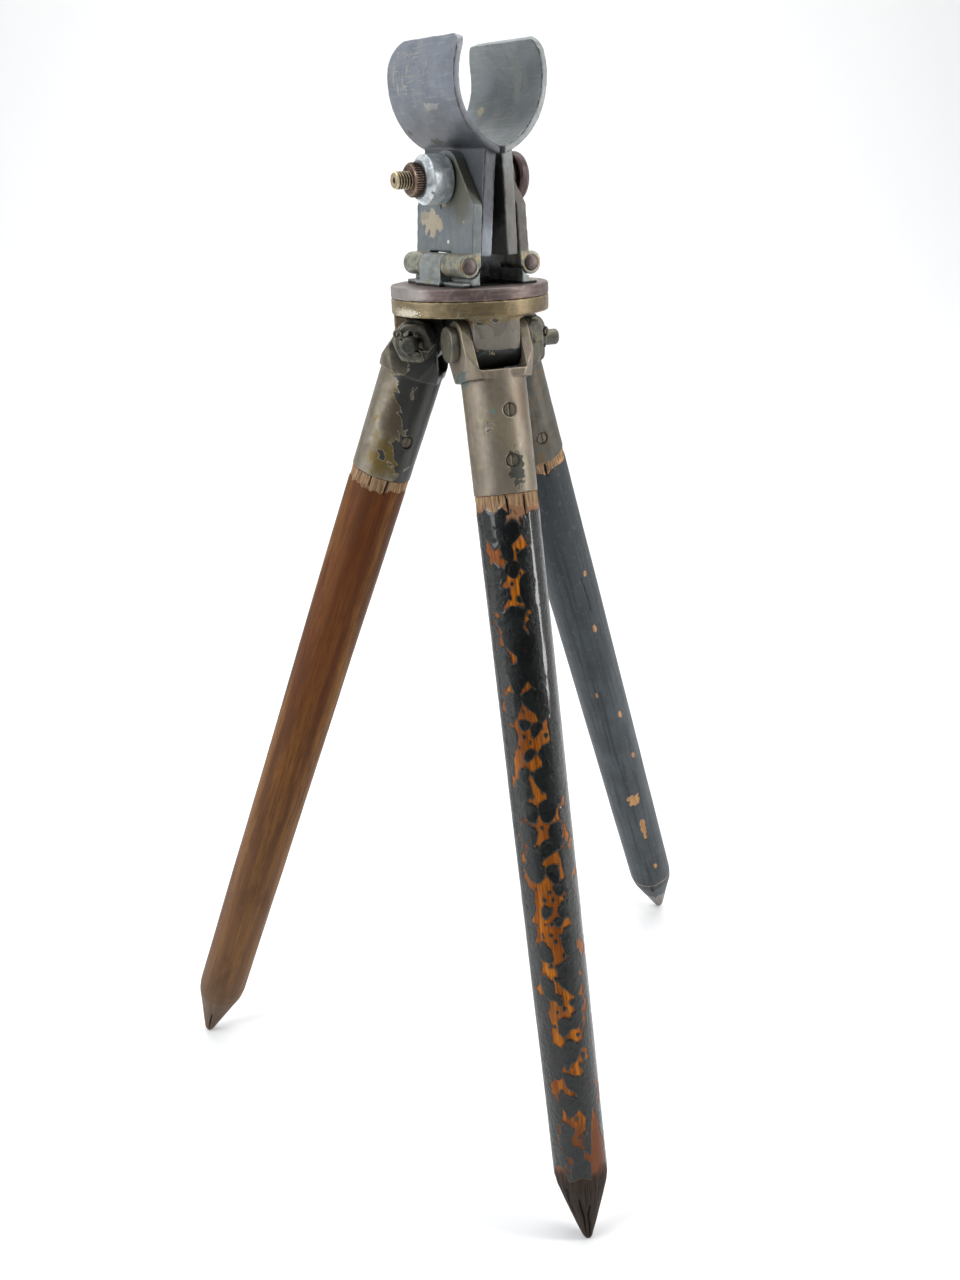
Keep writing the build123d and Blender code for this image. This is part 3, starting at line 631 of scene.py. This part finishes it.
def flaking(angle, down, _length):
    """Dark paint on the front leg: sound at the sides, broken into rounded islands in front."""
    band = np.maximum(near(angle, -30, 74), 0.45 * near(angle, 160, 60))
    right = near(angle, 25, 45) * ease(down, 170, 200)
    knots = [70, 84, 92, 128, 142, 158, 166, 182, 194, 240, 300, 375, 412, 432]
    level = [0.4, 0.85, 0.93, 0.9, 0.74, 0.76, 0.94, 0.8, 0.94, 0.92, 1.0, 1.0, 0.78, 0.4]
    loss = np.interp(down, knots, level) * np.maximum(band, 0.75 * right)
    loss = loss + 0.26 * around(angle, down, 11, 20, 101) - 0.04
    grow = np.clip(1.62 - 0.98 * loss, 0.6, 1.8)
    field = blobs(angle, down, 8.6, grow * 1.04, 102)
    field = np.maximum(field, blobs(angle, down, 5.2, grow * 0.46, 103))
    field = field + 0.4 * around(angle, down, 1.6, 2.2, 104) + 0.55 * around(angle, down, 3.4, 5.0, 108)
    stop = 427 - 36 * near(angle, 24, 24) - 10 * near(angle, -75, 25)
    stop = stop + 4.5 * around(angle, down * 0, 5.5, 9, 105)
    field = np.minimum(field, stop - down)
    start = FERRULE_END + 8 + 3.5 * around(angle, down * 0, 4.0, 9, 106)
    field = np.minimum(field, down - start)
    pits = blobs(angle, down, 15.0, np.full(angle.shape, 0.32), 107)
    thickness = ease(field, -0.15, 0.35)
    rim = ease(field, 0.0, 0.4) * ease(field, 1.6, 0.5)
    lift = 0.11 * thickness + 0.09 * rim - 0.05 * ease(pits, -0.5, 0.5) * thickness
    return field, lift


def coating(angle, down, length):
    """Sound slate paint on the right leg, chipped in a few places."""
    field = np.full(angle.shape, 3.0)
    start = FERRULE_END + 5.5 + 2 * around(angle, down * 0, 3.0, 9, 111)
    field = np.minimum(field, down - start)
    for degrees, at, wide, tall, seed in (
            (-112, 190, 5, 3.0, 1), (-100, 150, 4, 2, 2), (-105, 262, 4, 2.6, 3), (-128, 338, 16, 5.0, 4),
            (-124, 366, 7, 9.5, 5), (-98, 300, 5, 2.2, 6), (-150, 240, 3, 2, 7), (-118, 408, 6, 2, 8),
            (10, 210, 14, 7, 9), (60, 330, 10, 8, 10), (95, 140, 9, 5, 11), (-20, 290, 8, 9, 12)):
        gap = ((np.degrees(angle) - degrees + 180) % 360 - 180) / wide
        reach = np.sqrt(gap ** 2 + ((down - at) / tall) ** 2)
        ragged = 0.45 * around(angle, down, 2.0, 2.4, 120 + seed)
        field = np.minimum(field, (reach - 1 + ragged) * min(tall, wide * 0.26))
    ring = np.abs(down - (length - POINT_LENGTH - 1 + 1.5 * around(angle, down * 0, 7, 9, 112)))
    field = np.minimum(field, ring - 0.5)
    tip = length - 20 + 5 * around(angle, down * 0, 4, 9, 113)
    field = np.minimum(field, tip - down)
    return field, 0.09 * ease(field, -0.1, 0.3)


def wood_tones(g, light, mid, dark):
    """Bare wood: fine fibres, broad streaks along the leg, darker pores."""
    fibre = g.noise(1.0, 5.0, 0.6, at=g.stretched(1.7, 1.7, 0.05))
    broad = g.noise(1.0, 3.0, 0.5, at=g.stretched(0.16, 0.16, 0.012), warp=0.3)
    pores = g.noise(1.0, 3.0, 0.5, at=g.stretched(2.6, 2.6, 0.16))
    colour = g.mix(g.step(broad, 0.36, 0.64), tint(*light), tint(*mid))
    colour = g.mix(g.math("MULTIPLY", g.step(fibre, 0.46, 0.62), 0.7), colour, tint(*dark))
    deep = tint(*[v * 0.55 for v in dark])
    colour = g.mix(g.math("MULTIPLY", g.step(pores, 0.58, 0.68), 0.65), colour, deep)
    height = g.math("ADD", fibre, g.math("MULTIPLY", pores, -0.8))
    return colour, fibre, height


def splintered(g, colour, rough):
    """Raw torn wood under the ferrule and dark open cracks, over a leg's other colours."""
    raw = g.attribute("raw")
    strands = g.noise(1.0, 4.0, 0.6, at=g.stretched(1.5, 1.5, 0.11))
    pale = g.mix(g.step(strands, 0.35, 0.62), tint(96, 74, 54), tint(150, 122, 92))
    clefts = g.noise(1.0, 2.0, 0.5, at=g.stretched(1.1, 1.1, 0.08))
    pale = g.mix(g.step(clefts, 0.64, 0.7), pale, tint(48, 34, 27))
    colour = g.mix(g.step(raw, 0.3, 0.6), colour, pale)
    colour = g.mix(g.step(g.attribute("split"), 0.15, 0.7), colour, tint(24, 18, 15))
    return colour, g.mix_value(raw, rough, 0.85)


def bare_wood():
    g = Graph("bare_wood")
    colour, fibre, height = wood_tones(g, (116, 76, 29), (79, 43, 9), (50, 25, 6))
    reddish = g.step(g.math("ADD", g.axis("Y"), g.math("MULTIPLY", g.noise(9.0, 2.0), 6.0)), 9.0, 19.0)
    upper = g.step(g.attribute("down"), 330.0, 130.0)
    colour = g.mix(g.math("MULTIPLY", g.math("MULTIPLY", reddish, upper), 0.75), colour, tint(84, 39, 9))
    lower = g.step(g.attribute("down"), 200.0, 400.0)
    faded = g.mix(fibre, tint(88, 62, 40), tint(132, 102, 74))
    colour = g.mix(g.math("MULTIPLY", lower, 0.4), colour, faded)
    patches = g.step(g.noise(1.0, 3.0, 0.55, at=g.stretched(0.1, 0.1, 0.03)), 0.5, 0.66)
    colour = g.mix(g.math("MULTIPLY", patches, 0.5), colour, tint(70, 41, 18))
    down = g.attribute("down")
    weather = g.step(g.math("ADD", down, g.math("MULTIPLY", fibre, 60.0)), 420.0, 480.0)
    colour = g.mix(g.math("MULTIPLY", weather, 0.75), colour, tint(84, 68, 54))
    colour, rough = splintered(g, colour, g.span(fibre, 0.42, 0.62))
    return g.finish(colour, rough, g.bump(height, 0.16, 0.9), ior=1.24)


def flaked_paint():
    g = Graph("flaked_paint")
    colour, fibre, height = wood_tones(g, (176, 102, 18), (120, 62, 9), (58, 26, 5))
    fade = g.step(g.noise(1.0, 3.0, 0.5, at=g.stretched(0.14, 0.14, 0.04)), 0.5, 0.62)
    colour = g.mix(g.math("MULTIPLY", fade, 0.6), colour, tint(112, 66, 34))
    down = g.attribute("down")
    along = g.math("ADD", down, g.math("MULTIPLY", g.noise(6.0, 3.0), 14.0))
    worn_low = g.step(along, 392.0, 408.0)
    handled = g.mix(fibre, tint(56, 30, 16), tint(112, 64, 36))
    colour = g.mix(g.math("MULTIPLY", worn_low, 0.85), colour, handled)
    grey = g.step(along, 424.0, 434.0)
    weathered = g.mix(g.step(fibre, 0.4, 0.62), tint(58, 47, 39), tint(31, 25, 21))
    colour = g.mix(grey, colour, weathered)
    high_wood = g.step(along, 104.0, 92.0)
    colour = g.mix(high_wood, colour, g.mix(fibre, tint(96, 66, 46), tint(146, 108, 80)))
    wood_rough = g.mix_value(g.math("MAXIMUM", grey, high_wood), 0.38, 0.78)
    wobble = g.math("MULTIPLY", g.math("SUBTRACT", g.noise(0.9, 3.0), 0.5), 0.9)
    field = g.math("ADD", g.attribute("paint"), wobble)
    cover = g.step(field, -0.06, 0.06)
    rim = g.math("MULTIPLY", g.step(field, -0.5, -0.05), g.math("SUBTRACT", 1.0, cover))
    colour = g.mix(g.math("MULTIPLY", rim, 0.7), colour, tint(70, 38, 18))
    film = g.mix(g.step(g.noise(9.0, 4.0), 0.4, 0.62), tint(10, 13, 13), tint(20, 24, 23))
    browned = g.step(g.noise(7.0, 4.0, 0.6, warp=1.0), 0.58, 0.66)
    film = g.mix(g.math("MULTIPLY", browned, 0.5), film, tint(38, 25, 19))
    lip = g.math("MULTIPLY", g.step(field, 0.5, 0.08), cover)
    film = g.mix(g.math("MULTIPLY", lip, 0.5), film, tint(74, 70, 63))
    # the film turns grey-blue towards one side of the leg: partly a second grey paint, partly a painted
    # reflection of bright surroundings
    side = g.math("ADD", g.axis("X"), g.math("MULTIPLY", g.noise(7.0, 3.0), 5.0))
    film = g.mix(g.step(side, 6.0, 1.0), film, tint(20, 23, 25))
    colour = g.mix(cover, colour, film)
    rough = g.mix_value(cover, wood_rough, g.span(g.noise(3.0, 3.0), 0.2, 0.38))
    colour, rough = splintered(g, colour, rough)
    crackle = g.crazing(4.2, g.stretched(1.0, 1.0, 0.7))
    blister = g.math("MULTIPLY", g.noise(2.2, 3.0), cover)
    normal = g.bump(height, 0.12, 0.8)
    normal = g.bump(g.math("MULTIPLY", g.step(crackle, 0.0, 0.06), cover), 0.1, 0.5, under=normal)
    normal = g.bump(blister, 0.5, 1.0, under=normal)
    normal = g.bump(cover, 0.12, 0.8, under=normal)
    varnish = g.math("MULTIPLY", cover, g.step(side, 2.0, 9.0))
    varnish = g.math("MULTIPLY", varnish, 0.5)
    return g.finish(colour, rough, normal, coat=varnish, coat_roughness=0.1, ior=1.26)


def slate_paint():
    g = Graph("slate_paint")
    colour, fibre, height = wood_tones(g, (186, 142, 88), (164, 118, 68), (104, 72, 44))
    streak = g.noise(1.0, 4.0, 0.55, at=g.stretched(0.5, 0.5, 0.02))
    film = g.mix(g.step(g.noise(18.0, 4.0), 0.38, 0.64), tint(46, 53, 57), tint(58, 65, 70))
    film = g.mix(g.math("MULTIPLY", g.step(streak, 0.48, 0.62), 0.75), film, tint(30, 35, 39))
    film = g.mix(g.math("MULTIPLY", g.step(g.attribute("down"), 260.0, 80.0), 0.75), film, tint(30, 36, 39))
    film = g.mix(g.math("MULTIPLY", g.step(g.noise(3.0, 5.0), 0.56, 0.7), 0.4), film, tint(78, 84, 86))
    wobble = g.math("MULTIPLY", g.math("SUBTRACT", g.noise(0.9, 3.0), 0.5), 0.7)
    field = g.math("ADD", g.attribute("paint"), wobble)
    cover = g.step(field, -0.06, 0.06)
    down = g.attribute("down")
    stub = g.mix(g.step(fibre, 0.4, 0.6), tint(134, 130, 126), tint(88, 84, 80))
    colour = g.mix(g.step(down, 424.0, 430.0), colour, stub)
    colour = g.mix(cover, colour, film)
    colour, rough = splintered(g, colour, g.span(g.noise(5.0, 4.0), 0.4, 0.58))
    normal = g.bump(g.math("ADD", height, g.math("MULTIPLY", streak, 1.2)), 0.12, 0.8)
    normal = g.bump(cover, 0.12, 0.9, under=normal)
    return g.finish(colour, rough, normal, ior=1.38)


# ---- finishes -----------------------------------------------------------------------------------
ANY = (1, 1, 1)
FLAT = (1, 0, 1)
INK = (38, 42, 39)
# sheltered places that get painted shade, as (centre, radius) in millimetres
INNER = ((0, 0, 40), (60, 3.9, 27))
HINGE_INSIDE = ((0, 0, 10), (60, 12.5, 9))
SLOT_INSIDE = ((0, 0, -3), (12, 12.4, 12))

CHEEK_SPOTS = (
    ((154, 144, 124), (-7.5, 0, 32.6), (8.2, 5.5, 5.2), 1.3, 3.4, FLAT),
    ((176, 150, 112), (2.5, 0, 42.0), (2.6, 3, 1.6), 0.6, 2.0, FLAT),
    ((34, 34, 36), (0.5, 0, 41.0), (0.8, 3, 1.8), 0.5, 2.0, FLAT),
    ((206, 202, 190), (7.5, 0, 25.2), (0.9, 3, 0.8), 0.4, 1.0, FLAT),
    ((190, 170, 130), (20.5, 0, 34.0), (0.8, 3, 0.6), 0.4, 1.0, FLAT),
    ((138, 132, 116), (-15.0, 0, 36.5), (4.0, 3, 2.2), 0.9, 3.0, FLAT),
)
KNUCKLES = (20.9, 20.1, ((128, 128, 114), (94, 94, 84), (150, 130, 92)))
left_cheek_paint = enamel(
    "left_cheek_paint", ((98, 104, 106), (86, 92, 95), (110, 110, 106), (122, 124, 122)), (132, 116, 84),
    CHEEK_SPOTS, (0.5, 0.5, 0.12), chips=0.42, dark=(HINGE_INSIDE,), zone=KNUCKLES,
    shade=((74, 72, 58), (BOLT_X + 14, 0, BOLT_Z - 3), (12, 9, 15), 0.4, FLAT))
right_cheek_paint = enamel(
    "right_cheek_paint", ((82, 78, 74), (66, 62, 60), (96, 84, 70), (112, 104, 94)), (128, 108, 80), (),
    (0.5, 0.5, 0.12), chips=0.46, dark=(HINGE_INSIDE,), zone=KNUCKLES)
left_jaw_paint = enamel(
    "left_jaw_paint", ((116, 121, 129), (99, 104, 113), (128, 126, 124), (146, 149, 152)), (100, 84, 62),
    (((160, 160, 156), (9, 0, 82.5), (6, 3, 1.5), 1.1, 2.2, FLAT),
     ((142, 132, 114), (-22, 0, 73), (2, 3, 1), 0.9, 3.0, FLAT),
     ((140, 128, 104), (-5, 0, 68.5), (5, 3, 1.1), 1.3, 1.6, FLAT)),
    (0.08, 0.5, 0.9), 0.3, (0.32, 0.48), 0.45, dark=(INNER,),
    scratches=((-6, 0, 97), (17, 9, 12), FLAT), shade=((52, 54, 58), (0, 0, 56), (70, 9, 25), 0.3, FLAT))
right_jaw_paint = enamel(
    "right_jaw_paint", ((124, 130, 132), (108, 114, 115), (132, 134, 126), (152, 156, 154)), (78, 68, 54),
    (((166, 160, 138), (-14, 0, 82), (2.6, 9, 2.2), 1.1, 1.6, FLAT),
     ((146, 150, 146), (13, 0, 92), (3, 9, 9), 1.2, 3.0, FLAT)),
    (0.08, 0.5, 0.9), 0.3, (0.32, 0.5), 0.46, dark=(INNER,),
    shade=((84, 80, 76), (0, 0, 36), (60, 30, 28), 0.3, FLAT))
steel = patina(
    "collar_steel", ((198, 206, 210), (138, 147, 152), (212, 216, 217), (234, 237, 237), (70, 72, 72)),
    0.35, (0.2, 0.38), (0.3, 0.9, 0.3), paint=((84, 86, 85), 0.34, (0, 0, 0)), edge_tone=(214, 218, 218),
    stains_and_highlights=(((96, 102, 105), (BOLT_X, -29.0, BOLT_Z), (14, 4.4, 14)),), streaks=0.3)
brass = patina(
    "thread_brass", ((160, 144, 112), (130, 114, 88), (172, 156, 120), (196, 180, 142), (76, 64, 52)),
    0.45, (0.28, 0.45), (0.6, 2.0, 0.6), edge_tone=(212, 198, 164), grime_and_shade=1.0,
    dark=(((BOLT_X, -39.4, BOLT_Z), (1.5, 1.1, 1.5)),))
nut_bronze = patina(
    "nut_bronze", ((100, 80, 70), (78, 62, 56), (114, 92, 74), (144, 122, 102), (50, 42, 40)), 0.75,
    (0.32, 0.5), (0.6, 0.6, 0.6), edge_tone=(200, 182, 156), grime_and_shade=1.0)
head_bronze = patina(
    "head_bronze", ((66, 52, 54), (48, 39, 41), (80, 60, 56), (98, 82, 78), (34, 29, 30)), 0.6,
    (0.34, 0.52), (0.4, 1.2, 0.4), edge_tone=(118, 98, 88), grime_and_shade=1.0)
disc_bronze = patina(
    "disc_bronze", ((100, 84, 80), (84, 69, 67), (114, 98, 92), (128, 116, 108), (66, 54, 54)), 0.5,
    (0.36, 0.55), (0.1, 0.1, 1.2),
    # the light patch at the front left is a painted highlight; the other makes the right end lighter
    stains_and_highlights=(((150, 143, 139), (2, -37, 3), (16, 8, 5)), ((134, 126, 122), (32, -4, 6), (6, 12, 2.5))),
    edge_tone=(164, 152, 140), dark=(((0, 0, 6), (28, 14, 4)),), streaks=0.3)
olive_brass = patina(
    "olive_brass", ((110, 96, 66), (92, 80, 60), (118, 102, 74), (134, 120, 88), (64, 56, 46)), 0.5,
    (0.34, 0.52), (0.1, 0.1, 1.2), edge_tone=(176, 160, 120), paint=((26, 29, 29), 0.165, (0, 0, -0.023)),
    # the pale speckled patch at the front left is a painted highlight
    spots=(((200, 190, 170), (4, -38, -5.6), (9, 6, 2.2), 1.6, 0.7, ANY),
           ((114, 107, 97), (20, 14, -16), (60, 60, 7), 0.2, 5.0, ANY)),
    dark=(((0, 0, -15), (27, 27, 9)),), streaks=0.3)
hinge_bronze = patina(
    "hinge_bronze", ((130, 136, 135), (108, 113, 111), (132, 124, 98), (156, 158, 152), (64, 64, 60)),
    0.35, (0.3, 0.5), (0.2, 0.6, 0.6), edge_tone=(160, 150, 116), grime_and_shade=1.0,
    dark=(HINGE_INSIDE, ((0, 0, 5.6), (60, 60, 1.3))))
pin_bronze = patina(
    "pin_bronze", ((88, 76, 73), (70, 60, 60), (104, 90, 81), (122, 110, 100), (48, 43, 43)), 0.5,
    (0.36, 0.55), (0.5, 0.5, 0.5), edge_tone=(134, 118, 106), streaks=0.2)
fittings = patina(
    "leg_fittings", ((92, 90, 80), (72, 70, 64), (104, 98, 78), (130, 126, 112), (50, 48, 46)), 0.5,
    (0.36, 0.56), (0.5, 0.5, 0.5), edge_tone=(146, 140, 122), grime_and_shade=0.9, streaks=0.2)
dark_fittings = patina(
    "dark_fittings", ((66, 65, 60), (48, 48, 45), (80, 76, 62), (104, 102, 94), (34, 34, 32)), 0.45,
    (0.36, 0.56), (0.5, 0.5, 0.5), edge_tone=(132, 128, 116), grime_and_shade=1.0, streaks=0.2)
screw_steel = patina(
    "screw_steel", ((96, 90, 76), (76, 70, 60), (110, 102, 84), (136, 128, 108), (48, 44, 40)), 0.6,
    (0.34, 0.52), (0.6, 0.6, 0.6), edge_tone=(156, 148, 122), grime_and_shade=1.0, streaks=0.2)
front_fork_bronze = patina(
    "front_fork_bronze", ((122, 112, 98), (102, 92, 80), (116, 108, 82), (138, 128, 112), (74, 68, 60)),
    0.45, (0.36, 0.56), (0.35, 0.35, 0.05), paint=(INK, 0.36, (0, 0, 0.0008)),
    spots=(((92, 101, 93), (2, -18, -17), (8, 4, 4), 0.9, 2.5, ANY),
           ((96, 124, 112), (14, -7, -33), (1.6, 1.3, 1.1), 0.9, 1.2, ANY),
           ((60, 60, 54), (15, 1, -60), (6, 4, 8), 1.1, 2.2, ANY)),
    edge_tone=(150, 140, 120), dark=(SLOT_INSIDE, ((15.2, 0.8, -33), (2, 3.1, 3.1))), streaks=0.22,
    stains_and_highlights=(((140, 130, 106), (14, -5, -44), (6, 5, 11)), ((126, 117, 104), (13, -9, -56), (5, 6, 14)),
            ((118, 102, 84), (14, 8, -30), (5, 6, 9))))
left_fork_bronze = patina(
    "left_fork_bronze", ((118, 111, 98), (88, 80, 66), (106, 90, 50), (138, 132, 118), (68, 60, 48)), 0.45,
    (0.34, 0.54), (0.35, 0.35, 0.05), paint=((21, 23, 18), 0.60, (-0.025, 0.0, 0.004)),
    edge_tone=(150, 141, 120),
    stains_and_highlights=(((104, 84, 24), (-3, 15, -60), (10, 9, 9)), ((30, 30, 25), (-2, 17, -3), (16, 9, 16)),
            ((74, 60, 40), (-2, 15, -38), (8, 6, 13))),
    dark=(SLOT_INSIDE, ((-10, 11.6, -50.2), (3.1, 3.1, 3.1))), streaks=0.22)
right_fork_bronze = patina(
    "right_fork_bronze", ((80, 77, 69), (64, 61, 55), (92, 74, 46), (104, 98, 86), (48, 46, 42)), 0.4,
    (0.38, 0.58), (0.35, 0.35, 0.05), paint=((44, 50, 48), 0.40, (0.004, 0, 0.006)),
    edge_tone=(134, 122, 98),
    stains_and_highlights=(((118, 84, 38), (-15, 0, -38), (6, 6, 11)), ((44, 48, 46), (-12, -10, -24), (9, 9, 8))),
    dark=(SLOT_INSIDE, ((-7, -13.7, -57.5), (3.1, 3.1, 3.1))), streaks=0.22)

# ---- head ---------------------------------------------------------------------------------------
worn("left_cheek", HEAD, left_cheek_paint, 0.38, 0.07)
worn("right_cheek", HEAD, right_cheek_paint, 0.38, 0.07)
worn("left_jaw", HEAD, left_jaw_paint, 0.42, 0.08)
worn("right_jaw", HEAD, right_jaw_paint, 0.42, 0.08)
worn("turntable_disc", HEAD, disc_bronze, 0.45, 0.06)
worn("base_plate", HEAD, olive_brass, 0.48, 0.07)
for side in ("left", "right"):
    worn(side + "_hinge_base", HEAD, hinge_bronze, 0.32, 0.06)
    worn(side + "_hinge_pin", HEAD, pin_bronze, 0.22, 0.05)
worn("hinge_base_screws", HEAD, screw_steel, 0.25, 0.02, 2)
worn("pivot_bolt", HEAD, pin_bronze, 0.3, 0.05)
worn("pivot_washer", HEAD, pin_bronze, 0.22, 0.02, 2)
worn("pivot_nut", HEAD, pin_bronze, 0.3, 0.05)


THREAD_PITCH = 1.4111
THREAD_DEPTH = 0.8
THREAD_START = -25.0
THREAD_END = -38.6
KNURLS = 40
KNURL_DEPTH = 0.45


def threaded(radius, height, angle):
    """A helical thread on the free end of the clamp bolt, plain elsewhere."""
    turn = (height / THREAD_PITCH + angle / (2 * math.pi)) % 1.0
    groove = THREAD_DEPTH * (1 - np.abs(2 * turn - 1)) ** 1.2
    share = ease(height, THREAD_START + 0.4, THREAD_START - 0.6)
    share = share * ease(height, THREAD_END - 1.0, THREAD_END + 0.2)
    on_shank = ease(radius, 3.0, 3.6) * ease(radius, 4.4, 4.1)
    return radius - groove * share * on_shank


def knurled(radius, _height, angle):
    teeth = KNURL_DEPTH * (0.5 - 0.5 * np.cos(KNURLS * angle))
    share = ease(radius, 6.7, 7.4)
    return radius - teeth * share


def plain(radius, _height, _angle):
    return radius


# outlines are (radius, place along the bolt) from its head, on the right, to its tip
BOLT_OUTLINE = [
    (0.3, 27.0), (9.3, 27.0), (10.9, 26.5), (11.5, 25.3), (11.5, 22.5), (10.7, 21.2), (8.3, 21.2),
    (8.3, 19.8), (9.0, 19.8), (9.6, 19.2), (9.6, 14.4), (3.97, 14.4), (3.97, -39.0), (3.3, -40.25),
    (1.5, -40.25), (1.2, -39.3), (0.3, -38.9)]
COLLAR_OUTLINE = [
    (4.02, -14.4), (10.5, -14.4), (11.0, -14.9), (11.0, -24.9), (10.3, -25.5), (8.3, -27.7), (4.02, -27.7)]
NUT_OUTLINE = [
    (4.02, -27.7), (6.85, -27.7), (7.5, -28.35), (7.5, -31.5), (6.3, -32.6), (4.02, -32.6)]
bolt = lathe_on_bolt("clamp_bolt", BOLT_OUTLINE, 0.14, 96, threaded, False, brass, 0.04)
bolt.data.materials.append(head_bronze)
UNDER_HEAD = 10.0             # the bolt's head lies beyond this
head_side = HEAD.local(read_points(bolt.data))[:, 1] > UNDER_HEAD
head_faces = [int(head_side[face.vertices[0]]) for face in bolt.data.polygons]
bolt.data.polygons.foreach_set("material_index", head_faces)
lathe_on_bolt("clamp_collar", COLLAR_OUTLINE, 0.2, 160, plain, True, steel, 0.12)
lathe_on_bolt("clamp_nut", NUT_OUTLINE, 0.15, 320, knurled, True, nut_bronze, 0.04)

# ---- legs ---------------------------------------------------------------------------------------
FORK_FINISH = {"front": front_fork_bronze, "left": left_fork_bronze, "right": right_fork_bronze}
for leg, place in LEG.items():
    worn(leg + "_leg_fork", place, FORK_FINISH[leg], 0.48, 0.09)
    nut_finish = dark_fittings if leg == "left" else fittings
    worn(leg + "_leg_hinge_bolt", place, nut_finish, 0.28, 0.06)
    worn(leg + "_leg_castle_nut", place, fittings, 0.22, 0.05)
    worn(leg + "_leg_head_washer", place, fittings, 0.2, 0.02, 2)
    worn(leg + "_leg_nut_washer", place, nut_finish, 0.24, 0.03, 2)
    worn(leg + "_leg_split_pin", place, screw_steel, 0.13, 0.02, 2)
    worn(leg + "_leg_ferrule_screws", place, screw_steel, 0.16, 0.03, 2)

# cracks are (degrees, top, end, width in degrees, wander), as in crack()
shaft("left", bare_wood(),
      ((118, 71.0, 80.0, 2.2, 3.0), (86, 71.5, 78.0, 1.8, 2.0), (96, 446.0, 465.0, 6.0, 3.0)))
shaft("front", flaked_paint(),
      ((-34, 436.0, 463.0, 5.0, 5.0), (-8, 441.0, 464.0, 5.5, 4.0), (-62, 430.0, 452.0, 4.0, 6.0),
       (-20, 72.0, 81.0, 3.0, 2.0), (12, 72.0, 83.0, 2.6, 2.0)), flaking)
shaft("right", slate_paint(),
      ((-128, 72.0, 80.0, 4.0, 2.0), (-150, 428.0, 436.0, 7.0, 4.0), (-112, 150.0, 176.0, 1.4, 2.0)),
      coating)


# ---- floor, light and camera --------------------------------------------------------------------
def sweep():
    """A pale floor that curves up into a backdrop."""
    mesh = bpy.data.meshes.new("floor")
    front, back, bend, top, half_width, bends = -2.5, 1.6, 0.8, 3.2, 3.5, 12
    profile = [(front, 0.0), (back, 0.0)]
    for step in range(1, bends + 1):
        turn = math.radians(90 * step / bends)
        profile.append((back + bend * math.sin(turn), bend - bend * math.cos(turn)))
    profile.append((back + bend, top))
    points = []
    for y, z in profile:
        points += [(-half_width, y, z), (half_width, y, z)]
    faces = [(2 * i, 2 * i + 1, 2 * i + 3, 2 * i + 2) for i in range(len(profile) - 1)]
    mesh.from_pydata(points, [], faces)
    mesh.shade_smooth()
    return link("floor", mesh)


floor = sweep()
paper = Graph("paper")
paper_tone = paper.mix(paper.noise(0.4, 3.0), tint(226, 226, 226), tint(230, 230, 230))
floor.data.materials.append(paper.finish(paper_tone, 0.9, paper.bump(paper.noise(0.002, 2.0), 0.01, 0.2)))

world = bpy.data.worlds.new("studio")
bpy.context.scene.world = world
world.use_nodes = True
sky = world.node_tree.nodes["Background"]
sky.inputs["Color"].default_value = (0.93, 0.96, 1.0, 1.0)
# the sky is dim behind the camera and bright towards the backdrop
direction = world.node_tree.nodes.new("ShaderNodeTexCoord")
parts = world.node_tree.nodes.new("ShaderNodeSeparateXYZ")
fall = world.node_tree.nodes.new("ShaderNodeMapRange")
fall.inputs["From Min"].default_value = -0.9
fall.inputs["From Max"].default_value = 0.3
fall.inputs["To Min"].default_value = 0.08
fall.inputs["To Max"].default_value = 0.6
world.node_tree.links.new(direction.outputs["Generated"], parts.inputs[0])
world.node_tree.links.new(parts.outputs["Y"], fall.inputs["Value"])
world.node_tree.links.new(fall.outputs[0], sky.inputs["Strength"])


def soft_light(name, place, aim, size, power, colour):
    data = bpy.data.lights.new(name, "AREA")
    data.shape = "RECTANGLE"
    data.size, data.size_y = size
    data.energy = power
    data.color = colour
    lamp = bpy.data.objects.new(name, data)
    bpy.context.scene.collection.objects.link(lamp)
    lamp.location = place
    lamp.rotation_mode = "QUATERNION"
    lamp.rotation_quaternion = (Vector(aim) - Vector(place)).to_track_quat("-Z", "Y")


CENTRE = (0.0, 0.0, 0.3)
soft_light("window_left", (-1.25, -0.5, 0.95), CENTRE, (0.9, 1.4), 24.0, (0.96, 0.98, 1.0))
soft_light("window_right", (1.2, -0.25, 0.8), CENTRE, (0.2, 1.3), 15.0, (1.0, 0.99, 0.97))
soft_light("ceiling", (0.1, 0.15, 1.7), CENTRE, (1.2, 1.2), 10.0, (1.0, 1.0, 1.0))
soft_light("backdrop_light", (0.0, 1.1, 2.6), (0.0, 2.3, 0.6), (3.0, 0.6), 62.0, (1.0, 1.0, 1.0))

CAMERA_PLACE = (-0.001535, -0.586746, 0.558774)
CAMERA_AIM = (0.008166, 0.0, 0.275836)
CAMERA_ROLL = -0.468          # degrees
CAMERA_LENS = 33.138
CAMERA_SHIFT = -0.00738

camera = bpy.data.objects.new("camera", bpy.data.cameras.new("camera"))
bpy.context.scene.collection.objects.link(camera)
bpy.context.scene.camera = camera
camera.location = CAMERA_PLACE
camera.rotation_mode = "QUATERNION"
line_of_sight = Vector(CAMERA_AIM) - camera.location
roll = Quaternion((0, 0, 1), math.radians(CAMERA_ROLL))
camera.rotation_quaternion = line_of_sight.to_track_quat("-Z", "Y") @ roll
camera.data.lens = CAMERA_LENS
camera.data.shift_x = CAMERA_SHIFT
camera.data.clip_start = 0.01
bpy.context.scene.view_settings.view_transform = "Standard"
